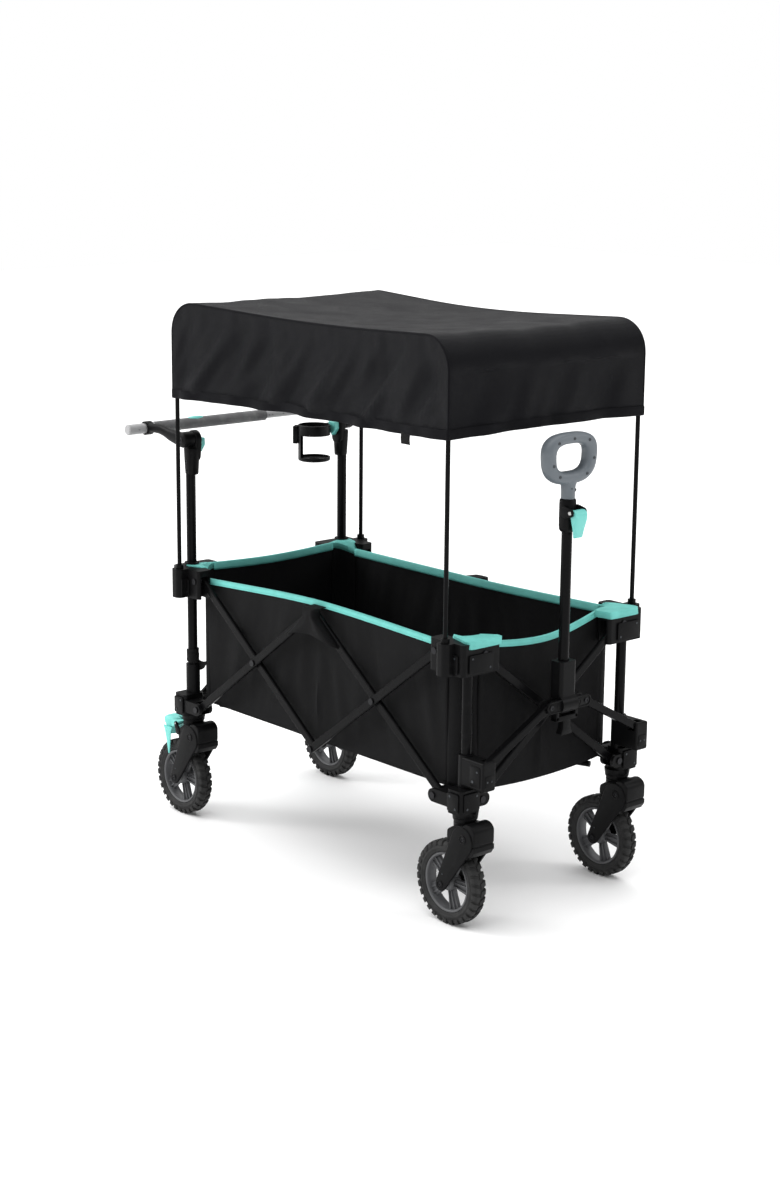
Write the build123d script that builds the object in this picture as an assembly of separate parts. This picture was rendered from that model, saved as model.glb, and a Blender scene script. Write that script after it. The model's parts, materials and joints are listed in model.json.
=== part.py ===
"""Folding kids pull wagon: a scissor-link frame that folds in length and width, with a fabric basket,
a lift-off canopy, four casters, a telescoping pull handle in front and a push handle behind.

Millimetres, +X forward, +Y to the wagon's left, +Z up, with the floor at z = 0. Shapes are first made about
the middle of the four posts, and save() then moves them so that the origin is the middle of the whole box.
"""

import os
from math import hypot

from build123d import *

os.makedirs("parts", exist_ok=True)

# Driving dimensions
WHEEL_D = 178.0
WHEEL_W = 34.0
POST_SPAN_X = 916.8
POST_SPAN_Y = 445.0
PIVOT_LOW = 275.0
PIVOT_HIGH = 575.0
LINK_RUN = 400.0
OVERALL_HEIGHT = 1209.0

POST_X = POST_SPAN_X / 2
POST_Y = POST_SPAN_Y / 2
PIVOT_RISE = PIVOT_HIGH - PIVOT_LOW
PIVOT_MID = (PIVOT_HIGH + PIVOT_LOW) / 2
LINK_LENGTH = hypot(LINK_RUN, PIVOT_RISE)
SIDE_PIVOT = LINK_RUN - POST_X
END_PIVOT = LINK_RUN / 2 - POST_Y

# Round parts and fits
POST_R = 11.0
POST_WALL = 1.6
FIT = 0.1
GUIDE_R = POST_R - POST_WALL - FIT
SLEEVE_R = 16.0
SLEEVE_TOP = 368.0
GUIDE_TOP = 560.0
POST_FOOT = 297.0

# Flat links in two layers, and the rivets that join them
LINK_W = 18.0
LINK_T = 9.5
LINK_ROUND = 2.4
RIVET_R = 3.95
RIVET_HOLE_R = RIVET_R + FIT
RIVET_HEAD_R = 7.0
RIVET_HEAD_T = 2.5
HEAD_GAP = 0.2
SIDE_LAYERS = {"inner": 12.85, "outer": 22.95}
END_LAYERS = {"inner": 1.85, "outer": 11.95}
SLOT_GAP = 0.5
PLATE_T = 8.0

# Corner brackets
BRACKET_LOW = (250.0, 300.0)
BRACKET_HIGH = (535.0, 600.0)
LOBE_LOW = (261.0, 289.0)
LOBE_X = 74.0
LOBE_Y_HIGH = 66.0
SLOT_FLOOR = 264.5
SLOT_ROOF = 586.0
CORE_HALF = 18.0

# Casters
STEM_R = 23.5
FORK_TOP = 228.9
STEM_FOOT = FORK_TOP + 0.6
TRAIL = 38.5
AXLE_R = 5.0
LEG_IN = 24.0
LEG_OUT = 31.0
CHEEK = (22.0, 196.0, 30.0)
NOSE_REACH = 56.0
PEDAL_HALF = 25.0
BRAKE_PIN = (-32.0, 222.0)
BRAKE_PIN_R = 2.0

# Canopy and its two hoops
POLE_X = 441.7
POLE_Y = 268.8
POLE_R = 4.8
POLE_FOOT = 600.6
HOOP_CORNER_R = 62.0
HOOP_BOW = 34.0
HOOP_SAG = 18.0
CANOPY_T = 3.0
HOOP_CLEAR = 3.7
CANOPY_HALF_X = 450.5
CANOPY_HALF_Y = 281.0
CANOPY_HEM = 990.0
CANOPY_BOW = 24.0
CANOPY_SAG = 16.0

# Basket
BASKET_HALF_X = 441.0
BASKET_HALF_Y = 219.0
BASKET_FLOOR = 283.0
BASKET_TOP = 597.0
BASKET_WALL = 5.0
BASKET_CORNER_R = 42.0

# Pull handle and its yoke
YOKE_X = 512.0
YOKE_BAR_Z = 445.0
YOKE_BAR_Y = 50.0
YOKE_FOOT_Y = 212.0
YOKE_FOOT_Z = 357.0
ARM_SIZE = 16.0
PULL_X = 505.0
SOCKET_TOP = 534.0
HOUSING_LOW = 800.0
HOUSING_TOP = 866.0
LEVER_PIN = (531.0, 842.0)
NECK_TOP = 892.0
GRIP_TOP = 1000.0
GRIP_WIDTH = 143.0
GRIP_DEPTH = 30.0
GRIP_OPENING = (84.0, 53.0)
INNER_FOOT = 480.0

# Push handle
HINGE_Z = 888.0
BAR_X = 600.0
BAR_Z = 898.0
BAR_HALF = 296.0
FOAM_R = 13.0
BAR_COLLAR_R = 17.5
BAR_TUBE_R = 11.0
BAR_INNER_R = 9.3
FOAM_END = 100.0
HUB_R = 18.0
HUB_Y = (220.5, 249.0)
ARM_Y = (236.0, 249.0)
BAR_COLLAR_Y = (222.0, 249.0)
HINGE_PIN = 13.0

# The middle of the wheelbase stands this far in front of the origin
SHIFT = 29.55

CORNERS = {
    "rear_right": (-1, -1),
    "rear_left": (-1, 1),
    "front_right": (1, -1),
    "front_left": (1, 1),
}
# The layer that each corner's side link and end link lie in, low and high.
SIDE_LINK_LAYER = {"rear": ("outer", "inner"), "front": ("inner", "outer")}
END_LINK_LAYER = {"right": ("outer", "inner"), "left": ("inner", "outer")}


def save(name, *solids):
    """Write one node, moved to the finished frame."""
    moved = [Pos(SHIFT, 0, 0) * solid for solid in solids]
    shape = moved[0] if len(moved) == 1 else Compound(children=moved)
    export_step(shape, f"parts/{name}.step")


def box_between(x, y, z, rounding=0.0, axis=Axis.Z):
    """A box from (low, high) pairs, with the edges along one axis rounded."""
    centre = [(low + high) / 2 for low, high in (x, y, z)]
    shape = Pos(*centre) * Box(*[high - low for low, high in (x, y, z)])
    if rounding:
        shape = fillet(shape.edges().filter_by(axis), rounding)
    return shape


def slab_x(sketch, low, high):
    """A sketch drawn in (Y, Z), made solid between two X values."""
    return extrude(Plane.YZ.offset(low) * sketch, amount=high - low)


def slab_y(sketch, low, high):
    """A sketch drawn in (X, Z), made solid between two Y values."""
    return extrude(Plane.XZ.offset(-high) * sketch, amount=high - low)


def slab_z(sketch, low, high):
    """A sketch drawn in (X, Y), made solid between two Z values."""
    return extrude(Pos(0, 0, low) * sketch, amount=high - low)


def upright(radius, low, high, x=0.0, y=0.0):
    return slab_z(Pos(x, y) * Circle(radius), low, high)


def rod_x(radius, low, high, y=0.0, z=0.0):
    return slab_x(Pos(y, z) * Circle(radius), low, high)


def rod_y(radius, low, high, x=0.0, z=0.0):
    return slab_y(Pos(x, z) * Circle(radius), low, high)


def joined(rod, low, high, place):
    """A rivet's shank and its two heads, as one solid."""
    head = RIVET_HEAD_T
    shape = rod(RIVET_R, low - head / 2, high + head / 2, *place)
    shape += rod(RIVET_HEAD_R, low - head, low, *place)
    shape += rod(RIVET_HEAD_R, high, high + head, *place)
    return shape


def hull_plate(first, second):
    """The outline round two circles, each (x, z, radius)."""
    edges = []
    for x, z, radius in (first, second):
        edges += (Pos(x, z) * Circle(radius)).edges()
    return make_hull(edges)


def at_corner(shape, signs):
    """Put a shape drawn for the front left corner, about its post, at another corner."""
    if signs[0] < 0:
        shape = mirror(shape, Plane.YZ)
    if signs[1] < 0:
        shape = mirror(shape, Plane.XZ)
    return Pos(signs[0] * POST_X, signs[1] * POST_Y, 0) * shape


def slot_range(layers):
    """The slot that holds both link layers."""
    half = LINK_T / 2 + SLOT_GAP
    return layers["inner"] - half, layers["outer"] + half


def spaced_rivet(rod, layers, used, place):
    """A bracket's rivet, with a shoulder where the other layer would be."""
    low, high = slot_range(layers)
    shape = joined(rod, low - PLATE_T - HEAD_GAP, high + PLATE_T + HEAD_GAP, place)
    free = layers["inner" if used == "outer" else "outer"]
    half = LINK_T / 2
    shape += rod(RIVET_HEAD_R - 1, free - half, free + half, *place)
    return shape


def bracket_body(z, lobes, slot_z):
    """The moulded block of a corner bracket: a core round the post and a slotted lobe along X and along Y."""
    side_low, side_high = slot_range(SIDE_LAYERS)
    end_low, end_high = slot_range(END_LAYERS)
    body = box_between(
        (-CORE_HALF, end_high + PLATE_T), (-CORE_HALF, side_high + PLATE_T), z, 9
    )
    body += lobes((side_low - PLATE_T, side_high + PLATE_T), (end_low - PLATE_T, end_high + PLATE_T))
    back_a = SIDE_PIVOT + LINK_W / 2 + 2.4
    back_b = END_PIVOT + LINK_W / 2 + 1.5
    body -= box_between((-LOBE_X - 1, back_a), (side_low, side_high), slot_z)
    body -= box_between((end_low, end_high), (-LOBE_X - 1, back_b), slot_z)
    return body


def round_lobes(side_range, end_range):
    """The low bracket's two lobes, each with a round end about its pivot."""
    z, radius = sum(LOBE_LOW) / 2, (LOBE_LOW[1] - LOBE_LOW[0]) / 2
    side = slab_y(hull_plate((SIDE_PIVOT, z, radius), (0, z, radius)), *side_range)
    return side + slab_x(hull_plate((END_PIVOT - 6, z, radius), (0, z, radius)), *end_range)


def square_lobes(side_range, end_range):
    """The high bracket's two lobes, as tall as the bracket."""
    side = box_between((-LOBE_X, 0), side_range, BRACKET_HIGH, 8, Axis.Z)
    return side + box_between(end_range, (-LOBE_Y_HIGH, 0), BRACKET_HIGH, 8, Axis.Z)


def rivet_holes(z):
    """The holes for a bracket's two rivets."""
    holes = rod_y(RIVET_HOLE_R, -30, 60, SIDE_PIVOT, z)
    holes += rod_x(RIVET_HOLE_R, -40, 60, END_PIVOT, z)
    return holes


def bracket_rivets(z, side_layer, end_layer):
    side = spaced_rivet(rod_y, SIDE_LAYERS, side_layer, (SIDE_PIVOT, z))
    end = spaced_rivet(rod_x, END_LAYERS, end_layer, (END_PIVOT, z))
    return side, end


def yoke_bracket():
    """The clevis in front of a front post, which holds the yoke arm's foot."""
    reach = YOKE_X - POST_X + ARM_SIZE / 2 + 6
    width = 17.5
    top = 366.0
    body = box_between((6, reach), (-width, width), (305, top), 5, Axis.X)
    body = fillet(body.faces().sort_by(Axis.X)[-1].edges(), 3.5)
    low = YOKE_X - POST_X - ARM_SIZE / 2 - SLOT_GAP
    foot = YOKE_FOOT_Y - POST_Y
    slot = box_between(
        (low, low + ARM_SIZE + 2 * SLOT_GAP),
        (-width - 1, foot + ARM_SIZE / 2 + 7.5),
        (YOKE_FOOT_Z - ARM_SIZE / 2 - 1.5, top + 1),
    )
    return body - slot


def lower_bracket(name, signs):
    """Bottom corner: bracket, sleeve and stem housing, with the steel guide tube and two rivets."""
    front, left = signs[0] > 0, signs[1] > 0
    body = bracket_body(BRACKET_LOW, round_lobes, (SLOT_FLOOR, BRACKET_LOW[1] + 1))
    body += upright(SLEEVE_R, BRACKET_LOW[1] - 4, SLEEVE_TOP)
    body += upright(STEM_R, STEM_FOOT, BRACKET_LOW[0] + 2)
    if front:
        body += yoke_bracket()
    body -= upright(POST_R + FIT, POST_FOOT - 0.5, SLEEVE_TOP + 1)
    body -= upright(GUIDE_R, BRACKET_LOW[0] + 5, POST_FOOT)
    body -= rivet_holes(PIVOT_LOW)
    guide = upright(GUIDE_R, BRACKET_LOW[0] + 5, GUIDE_TOP)
    guide -= upright(GUIDE_R - POST_WALL, BRACKET_LOW[0] + 9, GUIDE_TOP + 1)
    side_layer = SIDE_LINK_LAYER["front" if front else "rear"][0]
    end_layer = END_LINK_LAYER["left" if left else "right"][0]
    solids = [body, guide, *bracket_rivets(PIVOT_LOW, side_layer, end_layer)]
    if front and not left:
        foot = (YOKE_FOOT_Y - POST_Y, YOKE_FOOT_Z)
        low = YOKE_X - POST_X - ARM_SIZE / 2 - SLOT_GAP
        pin = rod_x(RIVET_R, low - 4, low + ARM_SIZE + 1 + 5.5, *foot)
        solids[0] -= rod_x(RIVET_R, low - 4, low + ARM_SIZE + 1 + 5.5, *foot)
        solids.append(pin)
    save(f"{name}_lower_bracket", *[at_corner(s, signs) for s in solids])


def top_bracket(name, signs):
    """Top corner: bracket with the canopy pole holder, and its two rivets."""
    front, left = signs[0] > 0, signs[1] > 0
    body = bracket_body(BRACKET_HIGH, square_lobes, (BRACKET_HIGH[0] - 1, SLOT_ROOF))
    pole = (POLE_X - POST_X, POLE_Y - POST_Y)
    holder = box_between(
        (pole[0] - 16, pole[0] + 16), (pole[1] - 22, pole[1] + 15), BRACKET_HIGH, 12
    )
    tab = box_between(
        (pole[0] - 19, pole[0] - 13), (pole[1] - 6, pole[1] + 8), (540, 578)
    )
    body += holder + tab
    body -= upright(POST_R, BRACKET_HIGH[0] - 1, BRACKET_HIGH[1] + (-4 if front else 1))
    body -= rivet_holes(PIVOT_HIGH)
    side_layer = SIDE_LINK_LAYER["front" if front else "rear"][1]
    end_layer = END_LINK_LAYER["left" if left else "right"][1]
    solids = [body, *bracket_rivets(PIVOT_HIGH, side_layer, end_layer)]
    save(f"{name}_top_bracket", *[at_corner(s, signs) for s in solids])


def post(name, signs):
    """The telescoping post, which slides on the guide tube. The rear ones go on up to the push handle."""
    top = BRACKET_HIGH[1] - 4 if signs[0] > 0 else HINGE_Z - HUB_R - 2
    tube = upright(POST_R, POST_FOOT, top)
    tube -= upright(POST_R - POST_WALL, POST_FOOT - 1, top + 1)
    save(f"{name}_post", at_corner(tube, signs))


def flat_link():
    """A link along X about its middle, with its three rivet holes."""
    body = extrude(
        SlotCenterToCenter(LINK_LENGTH, LINK_W), amount=LINK_T / 2, both=True
    )
    rims = body.edges().group_by(Axis.Z)
    body = fillet(rims[0] + rims[-1], LINK_ROUND)
    for x in (-LINK_LENGTH / 2, 0, LINK_LENGTH / 2):
        body -= Pos(x, 0, 0) * Cylinder(RIVET_HOLE_R, 2 * LINK_T)
    return body


def side_link(name, side, start_x, rises, layer, rivets):
    """A side link. It starts at start_x, low if it rises forward and high if it falls."""
    run = LINK_RUN / 2
    slope = 1 if rises else -1
    y = side * (POST_Y + SIDE_LAYERS[layer])
    place = Plane(
        origin=(start_x + run, y, PIVOT_MID),
        x_dir=(LINK_RUN, 0, slope * PIVOT_RISE),
        z_dir=(0, -1, 0),
    )
    solids = [place * flat_link()]
    low, high = sorted(side * (POST_Y + SIDE_LAYERS[k]) for k in SIDE_LAYERS)
    low, high = low - LINK_T / 2 - HEAD_GAP, high + LINK_T / 2 + HEAD_GAP
    for along in rivets:
        x = start_x + LINK_RUN * along
        z = PIVOT_MID + slope * PIVOT_RISE * (along - 0.5)
        solids.append(joined(rod_y, low, high, (x, z)))
    save(name, *solids)


def end_link(name, end, rises, layer):
    """An end link, from the right post to the left one. The rising one holds the rivet at the crossing."""
    slope = 1 if rises else -1
    x = end * (POST_X + END_LAYERS[layer])
    place = Plane(
        origin=(x, 0, PIVOT_MID),
        x_dir=(0, LINK_RUN, slope * PIVOT_RISE),
        z_dir=(1, 0, 0),
    )
    solids = [place * flat_link()]
    if rises:
        low, high = sorted(end * (POST_X + END_LAYERS[k]) for k in END_LAYERS)
        low, high = low - LINK_T / 2 - HEAD_GAP, high + LINK_T / 2 + HEAD_GAP
        solids.append(joined(rod_x, low, high, (0, PIVOT_MID)))
    save(name, *solids)


def scissor_links():
    """Two crossed pairs of links on each side, and one crossed pair at each end."""
    for side_name, side in (("right", -1), ("left", 1)):
        for end_name, start in (("rear", -LINK_RUN), ("front", 0.0)):
            ends = (0.5, 1.0) if end_name == "rear" else (0.0, 0.5)
            prefix = f"{side_name}_{end_name}_link"
            side_link(f"{prefix}_rising", side, start, True, "outer", ends)
            side_link(f"{prefix}_falling", side, start, False, "inner", ())
    for end_name, end in (("rear", -1), ("front", 1)):
        end_link(f"{end_name}_end_link_rising", end, True, "outer")
        end_link(f"{end_name}_end_link_falling", end, False, "inner")


def at_caster(shape, signs):
    """Casters all trail backwards, so they are moved and not mirrored."""
    return Pos(signs[0] * POST_X, signs[1] * POST_Y, 0) * shape


def caster_fork(name, signs):
    """Swivel fork: a head under the stem, a square nose in front, and two broad legs down to the axle."""
    head = upright(STEM_R, FORK_TOP - 20, FORK_TOP)
    nose = Polyline(
        (-24, 183), (-24, 212), (0, 226), (27, 234), (46, 232), (NOSE_REACH, 222),
        (NOSE_REACH, 178), (48, 167), (22, 167), (8, 183), close=True,
    )
    nose = slab_y(make_face(nose), -28, 28)
    nose = fillet(nose.faces().sort_by(Axis.Y)[-1].edges(), 4)
    nose = fillet(nose.faces().sort_by(Axis.Y)[0].edges(), 4)
    fork = nose + head
    fork -= upright(STEM_R + 1.2, FORK_TOP, FORK_TOP + 20)
    leg = hull_plate(CHEEK, (-TRAIL, WHEEL_D / 2, 14))
    for y in ((LEG_IN, LEG_OUT), (-LEG_OUT, -LEG_IN)):
        fork += slab_y(leg, *y)
    fork -= rod_y(AXLE_R, -LEG_OUT - 1, LEG_OUT + 1, -TRAIL, WHEEL_D / 2)
    axle = rod_y(AXLE_R, -LEG_OUT - 1, LEG_OUT + 1, -TRAIL, WHEEL_D / 2)
    for y in (-LEG_OUT - 4, LEG_OUT):
        axle += rod_y(AXLE_R + 4, y, y + 4, -TRAIL, WHEEL_D / 2)
    solids = [fork, axle]
    if signs[0] < 0:
        solids = [fork + brake_lugs(), axle, rod_y(BRAKE_PIN_R, -LEG_OUT, LEG_OUT, *BRAKE_PIN)]
    save(f"{name}_caster_fork", *[at_caster(solid, signs) for solid in solids])


def brake_lugs():
    """Two lugs behind the fork's nose, which carry the brake pedal's pin."""
    lug = hull_plate((-24, 205, 8), (*BRAKE_PIN, 5))
    gap = PEDAL_HALF + 0.6
    lugs = slab_y(lug, gap, gap + 4) + slab_y(lug, -gap - 4, -gap)
    return lugs - rod_y(BRAKE_PIN_R, -LEG_OUT, LEG_OUT, *BRAKE_PIN)


def tyre_and_rim(name, signs):
    """Tyre and spoked rim, on the fork's axle."""
    hub = (-TRAIL, WHEEL_D / 2)
    half = WHEEL_W / 2
    rim_r = 63.0
    tyre = rod_y(WHEEL_D / 2, -half, half)
    tyre = fillet(tyre.edges().filter_by(GeomType.CIRCLE), 10)
    tyre -= rod_y(rim_r, -half - 1, half + 1)
    rim = rod_y(rim_r, -half + 3, half - 3) - rod_y(rim_r - 7, -half, half)
    spoke = box_between((0, rim_r - 3), (-5, 5), (-9, 9))
    for turn in range(5):
        rim += Rot(0, 36 + 72 * turn, 0) * spoke
    rim += rod_y(15, -half, half)
    rim -= rod_y(AXLE_R + FIT / 2, -half - 1, half + 1)
    for label, shape in (("tyre", tyre), ("rim", rim)):
        save(f"{name}_{label}", at_caster(Pos(hub[0], 0, hub[1]) * shape, signs))


def brake_pedal(name, signs):
    """Foot brake: a top plate and two fins behind the fork's legs."""
    outline = make_face(
        Polyline(
            (-33, 215), (-40, 225), (-62, 229), (-86, 227), (-98, 217), (-93, 206),
            (-78, 194), (-70, 142), (-64, 142), (-56, 180), (-44, 214), close=True,
        )
    )
    half = PEDAL_HALF
    pedal = slab_y(outline, -half, half)
    pedal -= box_between((-110, -20), (-half + 3.5, half - 3.5), (130, 212))
    pedal += rod_y(BRAKE_PIN_R + 2.5, -half, half, *BRAKE_PIN)
    pedal -= rod_y(BRAKE_PIN_R + FIT, -half - 1, half + 1, *BRAKE_PIN)
    save(f"{name}_brake_pedal", at_caster(pedal, signs))


def yoke():
    """Two arms from the front brackets to a level centre piece, on which the pull handle tilts."""
    run = YOKE_FOOT_Y - YOKE_BAR_Y
    drop = YOKE_BAR_Z - YOKE_FOOT_Z
    low, high = YOKE_X - ARM_SIZE / 2, YOKE_X + ARM_SIZE / 2
    for name, side in (("right", -1), ("left", 1)):
        arm = extrude(
            SlotCenterToCenter(hypot(run, drop), ARM_SIZE), amount=ARM_SIZE / 2, both=True
        )
        arm = fillet(arm.edges().group_by(Axis.Z)[0] + arm.edges().group_by(Axis.Z)[-1], 2)
        for x in (-hypot(run, drop) / 2, hypot(run, drop) / 2):
            arm -= Pos(x, 0, 0) * Cylinder(RIVET_HOLE_R, 2 * ARM_SIZE)
        place = Plane(
            origin=(YOKE_X, side * (YOKE_FOOT_Y + YOKE_BAR_Y) / 2, (YOKE_BAR_Z + YOKE_FOOT_Z) / 2),
            x_dir=(0, side * run, -drop),
            z_dir=(1, 0, 0),
        )
        save(f"yoke_{name}_arm", place * arm)
    centre = rod_y(POST_R, -41, 41, YOKE_X, YOKE_BAR_Z)
    rivets = []
    for side in (-1, 1):
        ear = Pos(side * (YOKE_BAR_Y - 3), YOKE_BAR_Z) * RectangleRounded(26, 22, 8)
        centre += slab_x(ear, low - 7, low - SLOT_GAP)
        centre += slab_x(ear, high + SLOT_GAP, high + 7)
        centre -= rod_x(RIVET_R, low - 10, high + 10, side * YOKE_BAR_Y, YOKE_BAR_Z)
        inner = sorted((side * 23.0, side * 31.0))
        centre += box_between((low, high), inner, (412, YOKE_BAR_Z), 2, Axis.X)
        rivets.append(joined(rod_x, low - 7.2, high + 7.2, (side * YOKE_BAR_Y, YOKE_BAR_Z)))
    centre += box_between((low, high), (-31, 31), (410, 421), 2, Axis.X)
    foot = Polyline((-9, 412), (-9, 396), (-17, 380), (17, 380), (9, 396), (9, 412), close=True)
    centre += slab_x(make_face(foot), low, high)
    save("yoke_centre", centre, *rivets)


def pull_handle():
    """Socket, outer tube and lever housing, which tilt together; lever; inner tube and D-shaped grip."""
    socket = rod_y(19, -22, 22, YOKE_X, YOKE_BAR_Z)
    socket += box_between((PULL_X - 17, PULL_X + 17), (-22, 22), (YOKE_BAR_Z, SOCKET_TOP), 7)
    socket = socket - rod_y(POST_R + FIT, -23, 23, YOKE_X, YOKE_BAR_Z)
    tube_foot = YOKE_BAR_Z + 18
    socket -= upright(POST_R, tube_foot, SOCKET_TOP + 1, PULL_X)
    save("pull_handle_socket", socket)

    outer = upright(POST_R, tube_foot, HOUSING_LOW + 14, PULL_X)
    outer -= upright(POST_R - POST_WALL, tube_foot - 1, HOUSING_LOW + 15, PULL_X)
    save("pull_handle_outer_tube", outer)

    housing = box_between((PULL_X - 17, PULL_X + 17), (-21, 21), (HOUSING_LOW, HOUSING_TOP), 8)
    housing = fillet(housing.faces().sort_by(Axis.Z)[-1].edges(), 2.5)
    pin_x, pin_z = LEVER_PIN
    for y in ((-21, -16.5), (16.5, 21)):
        housing += box_between((PULL_X + 8, pin_x + 7), y, (pin_z - 9, pin_z + 9), 3, Axis.Y)
    housing -= upright(POST_R, HOUSING_LOW - 1, HOUSING_LOW + 14, PULL_X)
    housing -= upright(POST_R - POST_WALL, HOUSING_LOW, HOUSING_TOP + 1, PULL_X)
    housing -= rod_y(2.5, -22, 22, pin_x, pin_z)
    pin = rod_y(2.5, -22, 22, pin_x, pin_z)
    save("pull_handle_lever_housing", housing, pin)

    lever = Polyline(
        (pin_x - 5, pin_z - 5), (pin_x - 5, pin_z + 6), (pin_x + 5, pin_z + 6),
        (pin_x + 8, pin_z - 10), (pin_x + 16, pin_z - 50), (pin_x + 9, pin_z - 52),
        (pin_x, pin_z - 12), close=True,
    )
    lever = slab_y(make_face(lever), -16, 16)
    lever = fillet(lever.edges().filter_by(Axis.Y).group_by(Axis.Z)[0], 1.5)
    lever -= rod_y(2.5 + FIT, -22, 22, pin_x, pin_z)
    save("pull_handle_lever", lever)

    inner = upright(GUIDE_R, INNER_FOOT, HOUSING_TOP + 14, PULL_X)
    inner -= upright(GUIDE_R - POST_WALL, INNER_FOOT - 1, HOUSING_TOP + 15, PULL_X)
    save("pull_handle_inner_tube", inner)
    save("pull_handle_grip", pull_grip())


def pull_grip():
    """The D-shaped grip on its neck."""
    height = GRIP_TOP - NECK_TOP + 4
    middle = GRIP_TOP - height / 2
    outline = Pos(0, middle) * RectangleRounded(GRIP_WIDTH, height, 40)
    hole = Pos(0, middle + 4) * RectangleRounded(*GRIP_OPENING, 25)
    half = GRIP_DEPTH / 2
    ring = slab_x(outline - hole, PULL_X - half, PULL_X + half)
    faces = ring.faces().sort_by(Axis.X)
    ring = fillet(faces[0].edges() + faces[-1].edges(), 9)
    neck = upright(15, HOUSING_TOP + 0.5, NECK_TOP + 2, PULL_X)
    grip = ring + neck
    return grip - upright(GUIDE_R, HOUSING_TOP - 1, HOUSING_TOP + 14, PULL_X)


def push_hinge(name, side):
    """Housing on a rear post, and the teal release button in its inner face."""
    signs = (-1, side)
    block = box_between((-17.5, 17.5), (-17.5, 11.5), (808, 868), 6)
    disc = rod_y(20, -19.5, -2.5, 0, HINGE_Z)
    disc += box_between((-17.5, 17.5), (-19.5, -2.5), (850, HINGE_Z))
    housing = block + disc
    housing -= upright(POST_R, 807, HINGE_Z - HUB_R - 2)
    housing -= rod_y(AXLE_R + FIT, -HINGE_PIN - 0.5, 0, 0, HINGE_Z)
    shield = make_face(
        Polyline((-12, 16), (12, 16), (13, 0), (0, -17), (-13, 0), close=True)
    )
    centre = Pos(0, 874)
    pocket = slab_y(centre * offset(shield, 0.4), -20, -14)
    housing -= pocket
    button = slab_y(centre * shield, -32.5, -19.9)
    button = fillet(button.faces().sort_by(Axis.Y)[0].edges(), 2)
    save(f"push_handle_{name}_hinge_housing", at_corner(housing, signs))
    save(f"push_handle_{name}_release_button", at_corner(button, signs))


def push_arm(name, side):
    """Arm from the hinge to the bar's collar. The left collar lets the bar slide through as the wagon narrows."""
    reach = (-POST_X - (-BAR_X), BAR_Z - HINGE_Z)
    strap = hull_plate((0, HINGE_Z, 13), (-reach[0], BAR_Z, 12))
    arm = slab_y(strap, ARM_Y[0] - POST_Y, ARM_Y[1] - POST_Y)
    arm += rod_y(HUB_R, HUB_Y[0] - POST_Y, HUB_Y[1] - POST_Y, 0, HINGE_Z)
    collar = [y - POST_Y for y in BAR_COLLAR_Y]
    arm += rod_y(BAR_COLLAR_R, *collar, -reach[0], BAR_Z)
    arm += rod_y(AXLE_R, -HINGE_PIN, 0, 0, HINGE_Z)
    bore = BAR_TUBE_R if side < 0 else FOAM_R + 0.4
    arm -= rod_y(bore, -10, 60, -reach[0], BAR_Z)
    if side < 0:
        arm = mirror(arm, Plane.XZ)
    arm = Pos(-POST_X, side * POST_Y, 0) * arm
    save(f"push_handle_{name}_arm", arm)


def handlebar():
    """Outer tube with its foam sleeve and end cap, and the thinner inner tube that slides into it."""
    place = (-BAR_X, BAR_Z)
    foam_start = -BAR_COLLAR_Y[0] + 0.5
    tube = rod_y(BAR_TUBE_R, -BAR_COLLAR_Y[1] - 1, FOAM_END, *place)
    tube -= rod_y(BAR_INNER_R + FIT, foam_start - 20, FOAM_END + 1, *place)
    foam = rod_y(FOAM_R, foam_start, FOAM_END, *place)
    foam -= rod_y(BAR_TUBE_R, foam_start - 1, FOAM_END + 1, *place)
    cap = rod_y(FOAM_R, -BAR_HALF, -BAR_COLLAR_Y[1] - 0.5, *place)
    cap = fillet(cap.faces().sort_by(Axis.Y)[0].edges(), 4)
    cap -= rod_y(BAR_TUBE_R, -BAR_COLLAR_Y[1] - 1.5, 0, *place)
    save("handlebar_outer", tube, foam, cap)
    inner = rod_y(BAR_INNER_R, FOAM_END - 60, BAR_HALF - 20, *place)
    end = rod_y(FOAM_R, BAR_COLLAR_Y[1] + 1, BAR_HALF, *place)
    end = fillet(end.faces().sort_by(Axis.Y)[-1].edges(), 4)
    save("handlebar_inner", inner + end)


def cup_holder():
    """Cup holder beside the left rear post: a top ring and a base, joined by a wall on one side."""
    x, y, outer, wall = -474.0, 150.0, 38.0, 4.0
    low, high, ring = 799.0, 885.0, 25.0
    holder = upright(outer, low, high, x, y)
    holder -= upright(outer - wall, low + 5, high + 1, x, y)
    opening = upright(outer + 1, low + 10, high - ring, x, y)
    opening -= Pos(x, y) * Rot(0, 0, -132) * box_between((0, outer + 5), (-23, 23), (low, high))
    holder -= opening
    plate = box_between((-478.0, -472.6), (y + outer - 6, POST_Y - 19.5), (high - ring + 1, high))
    plate -= upright(outer - wall, low, high + 1, x, y)
    save("cup_holder", holder + plate)


def hoop(side):
    """One U-shaped hoop: two poles, and a top run that sags and bows inwards."""
    top = OVERALL_HEIGHT - CANOPY_T - POLE_R - HOOP_CLEAR
    foot, y = POLE_FOOT, side * POLE_Y
    points = [
        (-POLE_X, y, foot),
        (-POLE_X, y, top),
        (0, side * (POLE_Y - HOOP_BOW), top - HOOP_SAG),
        (POLE_X, y, top),
        (POLE_X, y, foot),
    ]
    middle_r = 0.45 * POLE_X**2 / hypot(HOOP_BOW, HOOP_SAG)
    path = FilletPolyline(*points, radius=[HOOP_CORNER_R, middle_r, HOOP_CORNER_R])
    tube = sweep(Plane(origin=points[0], z_dir=(0, 0, 1)) * Circle(POLE_R), path=path)
    for x in (-POLE_X, POLE_X):
        tube += upright(POLE_R + 4, foot, foot + 9, x, y)
    return tube


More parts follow.
